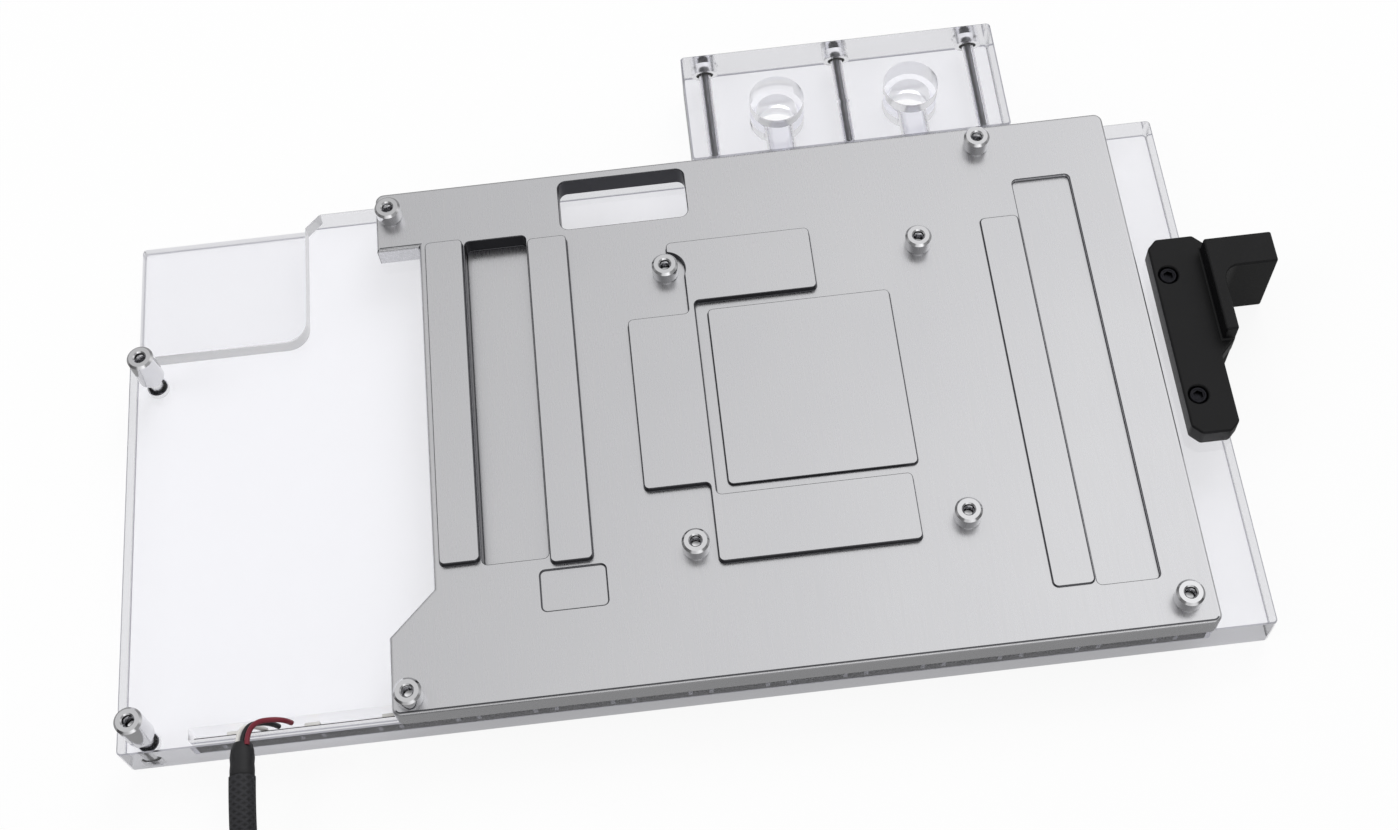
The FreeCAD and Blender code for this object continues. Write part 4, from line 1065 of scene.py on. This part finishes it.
@dataclass
class Connector:
    """The three way connector on the lead's end."""

    wall: float = 1.0 * MM
    edge_mm: float = 0.3
    mouth_depth: float = 5.0 * MM
    latch_start: float = 5.0 * MM
    latch_half: float = 1.9 * MM
    latch_sunk: float = 0.2 * MM
    ribs: int = 4
    rib_start: float = 2.0 * MM
    rib_pitch: float = 1.4 * MM
    rib_width: float = 0.6 * MM
    rib_half: float = 0.2 * MM
    rib_edge_mm: float = 0.12
    tip_edge_mm: float = 0.2

    def housing(self) -> Object:
        """The housing: open mouth, latch and grip ribs.

        Returns:
            The piece.
        """
        low, high = box_of("connector_housing")
        body_top = high.z - self.wall
        body = boxed(low, Vector((high.x, high.y, body_top)))
        mouth = max(body.faces, key=lambda face: face.calc_center_median().x)
        bmesh.ops.inset_region(body, faces=[mouth], thickness=self.wall)
        bevel(body, [e for e in sharp_edges(body) if mouth not in e.link_faces], self.edge_mm, 2)
        deep = bmesh.ops.extrude_discrete_faces(body, faces=[mouth])["faces"][0]
        bmesh.ops.translate(body, verts=deep.verts, vec=(-self.mouth_depth, 0.0, 0.0))
        middle = (low.y + high.y) / 2.0
        latch = boxed(
            Vector((low.x + self.latch_start, middle - self.latch_half, body_top - self.latch_sunk)),
            Vector((high.x - self.wall, middle + self.latch_half, high.z)))
        bevel(latch, sharp_edges(latch), self.edge_mm, 2)
        parts = [body, latch]
        for rib in range(self.ribs):
            start = low.x + self.rib_start + rib * self.rib_pitch
            for side in (low.y + self.rib_half, high.y - self.rib_half):
                grip = boxed(Vector((start, side - self.rib_half, low.z + self.wall)),
                             Vector((start + self.rib_width, side + self.rib_half, body_top - self.wall)))
                bevel(grip, sharp_edges(grip), self.rib_edge_mm)
                parts.append(grip)
        work = gathered(parts)
        return keep("connector_housing_moulded", work, [Surface.CONNECTOR], "connector_housing")

    def contacts(self) -> Object:
        """The three contact pins with their tips broken.

        Returns:
            The piece.
        """
        pins = []
        for low, high in solids_of("connector_contacts"):
            pin = boxed(low, high)
            tip = max(pin.faces, key=lambda face: face.calc_center_median().x)
            bevel(pin, list(tip.edges), self.tip_edge_mm)
            pins.append(pin)
        return keep("connector_contacts_tinned", gathered(pins), [Surface.CONTACT], "connector_contacts")


@dataclass
class LightLead:
    """Three wires, their shrink sleeve, the braided lead, its coil and tie, and the connector."""

    connector: Connector
    wire_d: float = 1.15 * MM
    wire_gap: float = 0.2 * MM
    wire_sunk: float = 0.4  # where a wire starts on the board, in its radii
    wire_bend: float = 1.2 * MM
    wire_rise: float = 0.5 * MM
    wire_in_sleeve: float = 1.0 * MM
    lead_d: float = 5.6 * MM
    sleeve_x: float = -128.0 * MM
    sleeve_front: float = -66.6 * MM
    sleeve_z: float = 12.4 * MM
    # How wide the sleeve is along its length, as shares of its radius and its length
    sleeve_shape: tuple[tuple[float, float], ...] = (
        (0.0, 0.0), (0.62, 0.0), (0.78, 0.03), (0.93, 0.22), (1.0, 0.45), (0.96, 0.62), (1.0, 0.8),
        (0.99, 0.97), (0.9, 1.0), (0.0, 1.0))
    turns: int = 2
    turn_points: int = 16
    # The lead joins the outer turn at the ring's left side, heading towards the viewer
    first_deg: float = 168.0
    inner_start: float = 0.15
    bend_points: int = 4
    lead_in_housing: float = 0.5 * MM
    tie_thick: float = 0.3 * MM
    tie_wide: float = 4.0 * MM
    tie_round_mm: float = 2.2
    # A smooth line through the control points is a little shorter than the steps between them
    line_share: float = 0.985
    route: tuple[Point, ...] = (
        (-0.128, -0.074, 0.0124), (-0.128, -0.084, 0.0124), (-0.1286, -0.097, 0.0044))

    def coil_ring(self) -> tuple[float, float, float]:
        """The coil's centre in X and Y, and its outer radius, from the CAD coil's box."""
        low, high = box_of("light_lead_coil")
        return (low.x + high.x) / 2.0, (low.y + high.y) / 2.0, (high.x - low.x) / 2.0

    def coil_points(self) -> list[Point]:
        """The coil's turns, wound inwards from the outside.

        Returns:
            Control points, in metres, with the last ones leading to the connector.
        """
        x, y, outer = self.coil_ring()
        points = []
        for step in range(self.turns * self.turn_points + 1):
            share = step / self.turn_points
            angle = math.radians(self.first_deg + 360.0 * share)
            sunk = min(share, self.turns - 1.0 + self.inner_start)
            radius = outer - self.lead_d / 2.0 - self.lead_d * sunk
            points.append((x + radius * math.cos(angle), y + radius * math.sin(angle),
                           self.lead_d / 2.0 + self.tie_thick))
        return points

    def curve(self, name: str, points: Sequence[Point], diameter: float, surface: Surface,
              rings: int) -> Object:
        """A round cord along one smooth line.

        Args:
            name: the piece's name.
            points: control points, in metres.
            diameter: the cord's diameter.
            surface: its finish.
            rings: how finely its section is divided.

        Returns:
            The curve object.
        """
        data = bpy.data.curves.new(name, "CURVE")
        data.dimensions = "3D"
        spline = data.splines.new("NURBS")
        spline.points.add(len(points) - 1)
        for target, point in zip(spline.points, points):
            target.co = (*point, 1.0)
        spline.order_u = 3
        spline.use_endpoint_u = True
        spline.resolution_u = 8
        data.bevel_depth = diameter / 2.0
        data.bevel_resolution = rings
        data.use_fill_caps = True
        data.materials.append(finish(surface))
        piece = placed(name, data)
        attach(piece, "root")
        return piece

    def wires(self) -> list[Object]:
        """The three wires, each from the strip board over the edge into the sleeve.

        Returns:
            The pieces.
        """
        colours = {"white_wire": Surface.WHITE_WIRE, "black_wire": Surface.BLACK_WIRE,
                   "red_wire": Surface.RED_WIRE}
        half = self.wire_d / 2.0
        gap = self.wire_d + self.wire_gap
        pieces = []
        for order, (node, surface) in enumerate(colours.items()):
            low, high = box_of(node)
            start, line = high.x - half, high.y - half
            end = self.sleeve_x + (order - 1) * gap
            level = self.sleeve_z - self.wire_d + order * gap
            points = [
                (start, line, low.z + half * self.wire_sunk),
                (start - self.wire_bend, line, level + self.wire_rise),
                (end, line, level), (end, self.sleeve_front - self.wire_in_sleeve, level)]
            wire = self.curve(node + "_drawn", points, self.wire_d, surface, 3)
            pieces.append(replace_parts(wire, node))
        return pieces

    def sleeve(self) -> Object:
        """The shrunk tube: narrow at both mouths, swollen where the wires lie.

        Returns:
            The piece.
        """
        low, high = box_of("shrink_sleeve")
        outer, length = (high.z - low.z) / 2.0, high.y - low.y
        work = turned([(wide * outer, along * length) for wide, along in self.sleeve_shape], 32)
        place = Matrix.Translation((self.sleeve_x, high.y, self.sleeve_z))
        moved(work, place @ Matrix.Rotation(math.pi / 2.0, 4, "X"))
        return keep("shrink_sleeve_shrunk", work, [Surface.SHRINK], "shrink_sleeve", smooth_deg=50.0)

    def tie(self) -> Object:
        """A thin tie round the coil's turns, on the side towards the block.

        Returns:
            The piece.
        """
        x, y, outer = self.coil_ring()
        half, thick = self.tie_wide / 2.0, self.tie_thick
        inner = outer - self.turns * self.lead_d
        work = boxed(Vector((x - half, y + inner - thick, 0.0)),
                     Vector((x + half, y + outer, self.lead_d + 2.0 * thick)))
        across = [e for e in sharp_edges(work) if abs(e.verts[0].co.x - e.verts[1].co.x) > half]
        bevel(work, across, self.tie_round_mm, 5)
        ends = [face for face in work.faces if abs(face.normal.x) > 0.9]
        bmesh.ops.delete(work, geom=ends, context="FACES_ONLY")
        bmesh.ops.recalc_face_normals(work, faces=work.faces)
        bmesh.ops.solidify(work, geom=work.faces[:], thickness=thick)
        return keep("coil_tie", work, [Surface.SHRINK])

    def lead(self, pieces: Sequence[Object]) -> Object:
        """The braided lead on one smooth line: from the sleeve down to the floor and round its coil.

        Args:
            pieces: not used.

        Returns:
            The piece.
        """
        low, high = box_of("connector_housing")
        entry = Vector((low.x, (low.y + high.y) / 2.0, self.lead_d / 2.0 + self.tie_thick))
        points = [*self.route, *self.coil_points()]
        # The inner end turns in a quarter circle from the coil into the connector
        bend = entry.x - points[-1][0]
        half_step = math.pi / (4.0 * self.bend_points)
        radius = bend / math.cos(half_step)
        for step in range(self.bend_points):
            angle = math.pi + (2 * step + 1) * half_step
            points.append((entry.x + radius * math.cos(angle),
                           entry.y + bend + radius * math.sin(angle), entry.z))
        points.append((entry.x + self.lead_in_housing, entry.y, entry.z))
        lead = self.curve("light_lead_braided", points, self.lead_d, Surface.BRAID, 6)
        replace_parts(lead, "light_lead", "light_lead_coil")
        runs = sum((Vector(b) - Vector(a)).length for a, b in zip(points, points[1:]))
        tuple(points[0])
        return lead

    def build(self) -> list[Object]:
        """Makes the wires, sleeve, lead, tie and connector."""
        ends = [self.connector.housing(), self.connector.contacts(), self.tie()]
        return self.wires() + [self.sleeve(), self.lead(ends)] + ends


# Studio

@dataclass(frozen=True)
class SoftLamp:
    """A square soft lamp that lights the block but isn't mirrored in it."""

    name: str
    place: Point
    side: float
    watts: float
    aim: Point = (-0.02, 0.0, 0.0)

    def build(self) -> None:
        """Hangs the lamp and turns it to what it lights."""
        data = bpy.data.lights.new(self.name, "AREA")
        data.size = self.side
        data.energy = self.watts
        lamp = placed(self.name, data)
        way = Vector(self.aim) - Vector(self.place)
        turn = way.to_track_quat("-Z", "Y").to_matrix().to_4x4()
        lamp.matrix_world = Matrix.Translation(self.place) @ turn
        lamp.visible_glossy = False


@dataclass
class Studio:
    """White table, even sky and two soft lamps, seen by a 50 mm camera from the front and above."""

    eye: Point = (-0.02767, -0.20181, 0.39907)
    right: Point = (0.9935, -0.1030, -0.0474)
    above: Point = (0.1133, 0.8826, 0.4562)
    behind: Point = (-0.0051, -0.4587, 0.8886)
    lens_mm: float = 50.0
    sky_light: float = 0.62
    # Each fade of the sky: axis, where it starts and ends, strength there, how it joins the others
    fades: tuple[Fade, ...] = (
        ("Y", -0.25, 0.1, 0.35, 1.0, ""),  # dark above the viewer
        ("Y", -0.65, -0.8, 0.0, 1.2, "MAXIMUM"),  # bright again low in front
        ("X", -0.2, 0.28, 0.72, 1.16, "MULTIPLY"),  # brighter to the right
        ("Y", 0.38, 0.58, 1.0, 0.82, "MULTIPLY"),  # a little darker far behind
        ("Z", 0.1, 0.5, 0.3, 1.0, "MULTIPLY"))  # dark near the horizon, which the clear block sees too
    floor_glow: float = 0.9
    through_glow: float = 0.68
    mirrored_glow: float = 0.3
    inner_glow: float = 0.82
    lit_reach: float = 0.22
    lit_fade: float = 0.25
    unlit_glow: float = 0.2
    table_half: float = 3.0
    # A hair above the block's underside: the cover lies wet on the table, so no mirror forms there
    table_lift: float = 0.05 * MM
    lamps: tuple[SoftLamp, ...] = (
        SoftLamp("soft_lamp_back", (0.35, 0.75, 0.95), 0.7, 6.0),
        SoftLamp("soft_lamp_left", (-0.9, -0.1, 0.8), 0.6, 3.0))

    def camera(self) -> None:
        """Sets the camera where the photograph was taken from."""
        data = bpy.data.cameras.new("studio_camera")
        data.lens = self.lens_mm
        data.sensor_width = 36.0
        data.clip_start = 0.01
        camera = placed("studio_camera", data)
        rows = Matrix((self.right, self.above, self.behind)).transposed().to_4x4()
        camera.matrix_world = Matrix.Translation(self.eye) @ rows
        bpy.context.scene.camera = camera

    def by_ray(self, tree: NodeTree, level: Node | float, cases: dict[str, Node | float]) -> Node:
        """A strength that depends on the kind of ray that asks for it.

        Args:
            tree: the node tree to add to.
            level: the strength for every other ray.
            cases: the strength by kind of ray; where a ray is of two kinds, the later one counts.

        Returns:
            The strength's node.
        """
        rays = add_node(tree, "LightPath")
        for kind, strength in cases.items():
            level = add_node(tree, "Mix", {
                0: rays.outputs[kind], 2: level, 3: strength}, data_type="FLOAT")
        return level

    def sky(self) -> None:
        """A white background; metal sees it fade to the left, and dark where the photographer stands."""
        world = bpy.data.worlds.new("studio_sky")
        bpy.context.scene.world = world
        world.use_nodes = True
        tree = world.node_tree
        tree.nodes.clear()
        way = add_node(tree, "TexCoord")
        axes = add_node(tree, "SeparateXYZ", {0: way.outputs["Generated"]})
        shown = None
        for axis, start, end, first, last, joined in self.fades:
            fade = add_node(tree, "MapRange", {
                "Value": axes.outputs[axis], "From Min": start, "From Max": end,
                "To Min": first, "To Max": last})
            shown = add_node(tree, "Math", {0: shown, 1: fade}, operation=joined) if joined else fade
        strength = self.by_ray(tree, self.sky_light, {
            "Is Glossy Ray": shown, "Is Transmission Ray": fade, "Is Camera Ray": 1.0})
        light = add_node(tree, "Background", {"Color": srgb("FFFFFF"), "Strength": strength})
        add_node(tree, "OutputWorld", {"Surface": light})

    def table(self, tree: NodeTree) -> Node:
        """Adds the table's shader: pale laminate, partly lit by itself wherever it is seen.

        Args:
            tree: the material's node tree.

        Returns:
            The shader's node.
        """
        laminate = add_node(tree, "BsdfPrincipled", {
            "Base Color": srgb("F4F4F4"), "Roughness": 0.7, "Specular IOR Level": 0.2})
        place = add_node(tree, "TexCoord")
        reach = add_node(tree, "VectorMath", {0: place.outputs["Object"]}, operation="LENGTH")
        fade = add_node(tree, "MapRange", {
            "Value": reach, "From Min": self.lit_reach,
            "From Max": self.lit_reach + self.lit_fade, "To Min": 1.0, "To Max": self.unlit_glow})
        # Metal mirrors the table darkly; a ray turned back inside the acrylic sees it brighter
        rays = add_node(tree, "LightPath")
        turns = add_node(tree, "Math", {0: rays.outputs["Ray Depth"], 1: 1.5}, operation="GREATER_THAN")
        mirrored = add_node(tree, "Mix", {
            0: turns, 2: self.mirrored_glow, 3: self.inner_glow}, data_type="FLOAT")
        # A ray bent by clear acrylic counts as both glossy and transmitted, so the latter decides last
        strength = self.by_ray(tree, mirrored, {"Is Transmission Ray": fade, "Is Camera Ray": 1.0})
        glow = add_node(tree, "Emission", {"Color": srgb("FFFFFF"), "Strength": strength})
        # Through the clear block more of the table's own light is seen, with the plate's soft shadow
        share = self.by_ray(tree, 0.0, {
            "Is Camera Ray": self.floor_glow, "Is Glossy Ray": self.floor_glow,
            "Is Transmission Ray": self.through_glow})
        return add_node(tree, "MixShader", {0: share, 1: laminate, 2: glow})

    def floor(self) -> None:
        """A pale table that keeps the block's soft shadow."""
        work = bmesh.new()
        bmesh.ops.create_grid(work, x_segments=1, y_segments=1, size=self.table_half)
        moved(work, Matrix.Translation((0.0, 0.0, self.table_lift)))
        mesh = bpy.data.meshes.new("studio_floor")
        work.to_mesh(mesh)
        work.free()
        mesh.materials.append(made_of("white_laminate_table", self.table))
        placed("studio_floor", mesh)

    def build(self) -> None:
        """Sets up camera, sky, table and lamps."""
        bpy.context.scene.view_settings.view_transform = "Standard"
        self.camera()
        self.sky()
        self.floor()
        for lamp in self.lamps:
            lamp.build()


def main() -> None:
    """Builds the studio and every sub-assembly, and reports each piece."""
    logging.basicConfig(level=logging.INFO, format="%(name)s: %(message)s")
    Studio().build()
    assemblies = [LightLead(Connector()), ContactPlate(), ClearBody(), Seals(), Fasteners(),
                  SupportBracket(), LightStrip()]
    for assembly in assemblies:
        for piece in assembly.build():
            LOG.info("%s: %s", type(assembly).__name__, piece.name)


if __name__ == "__main__":
    main()
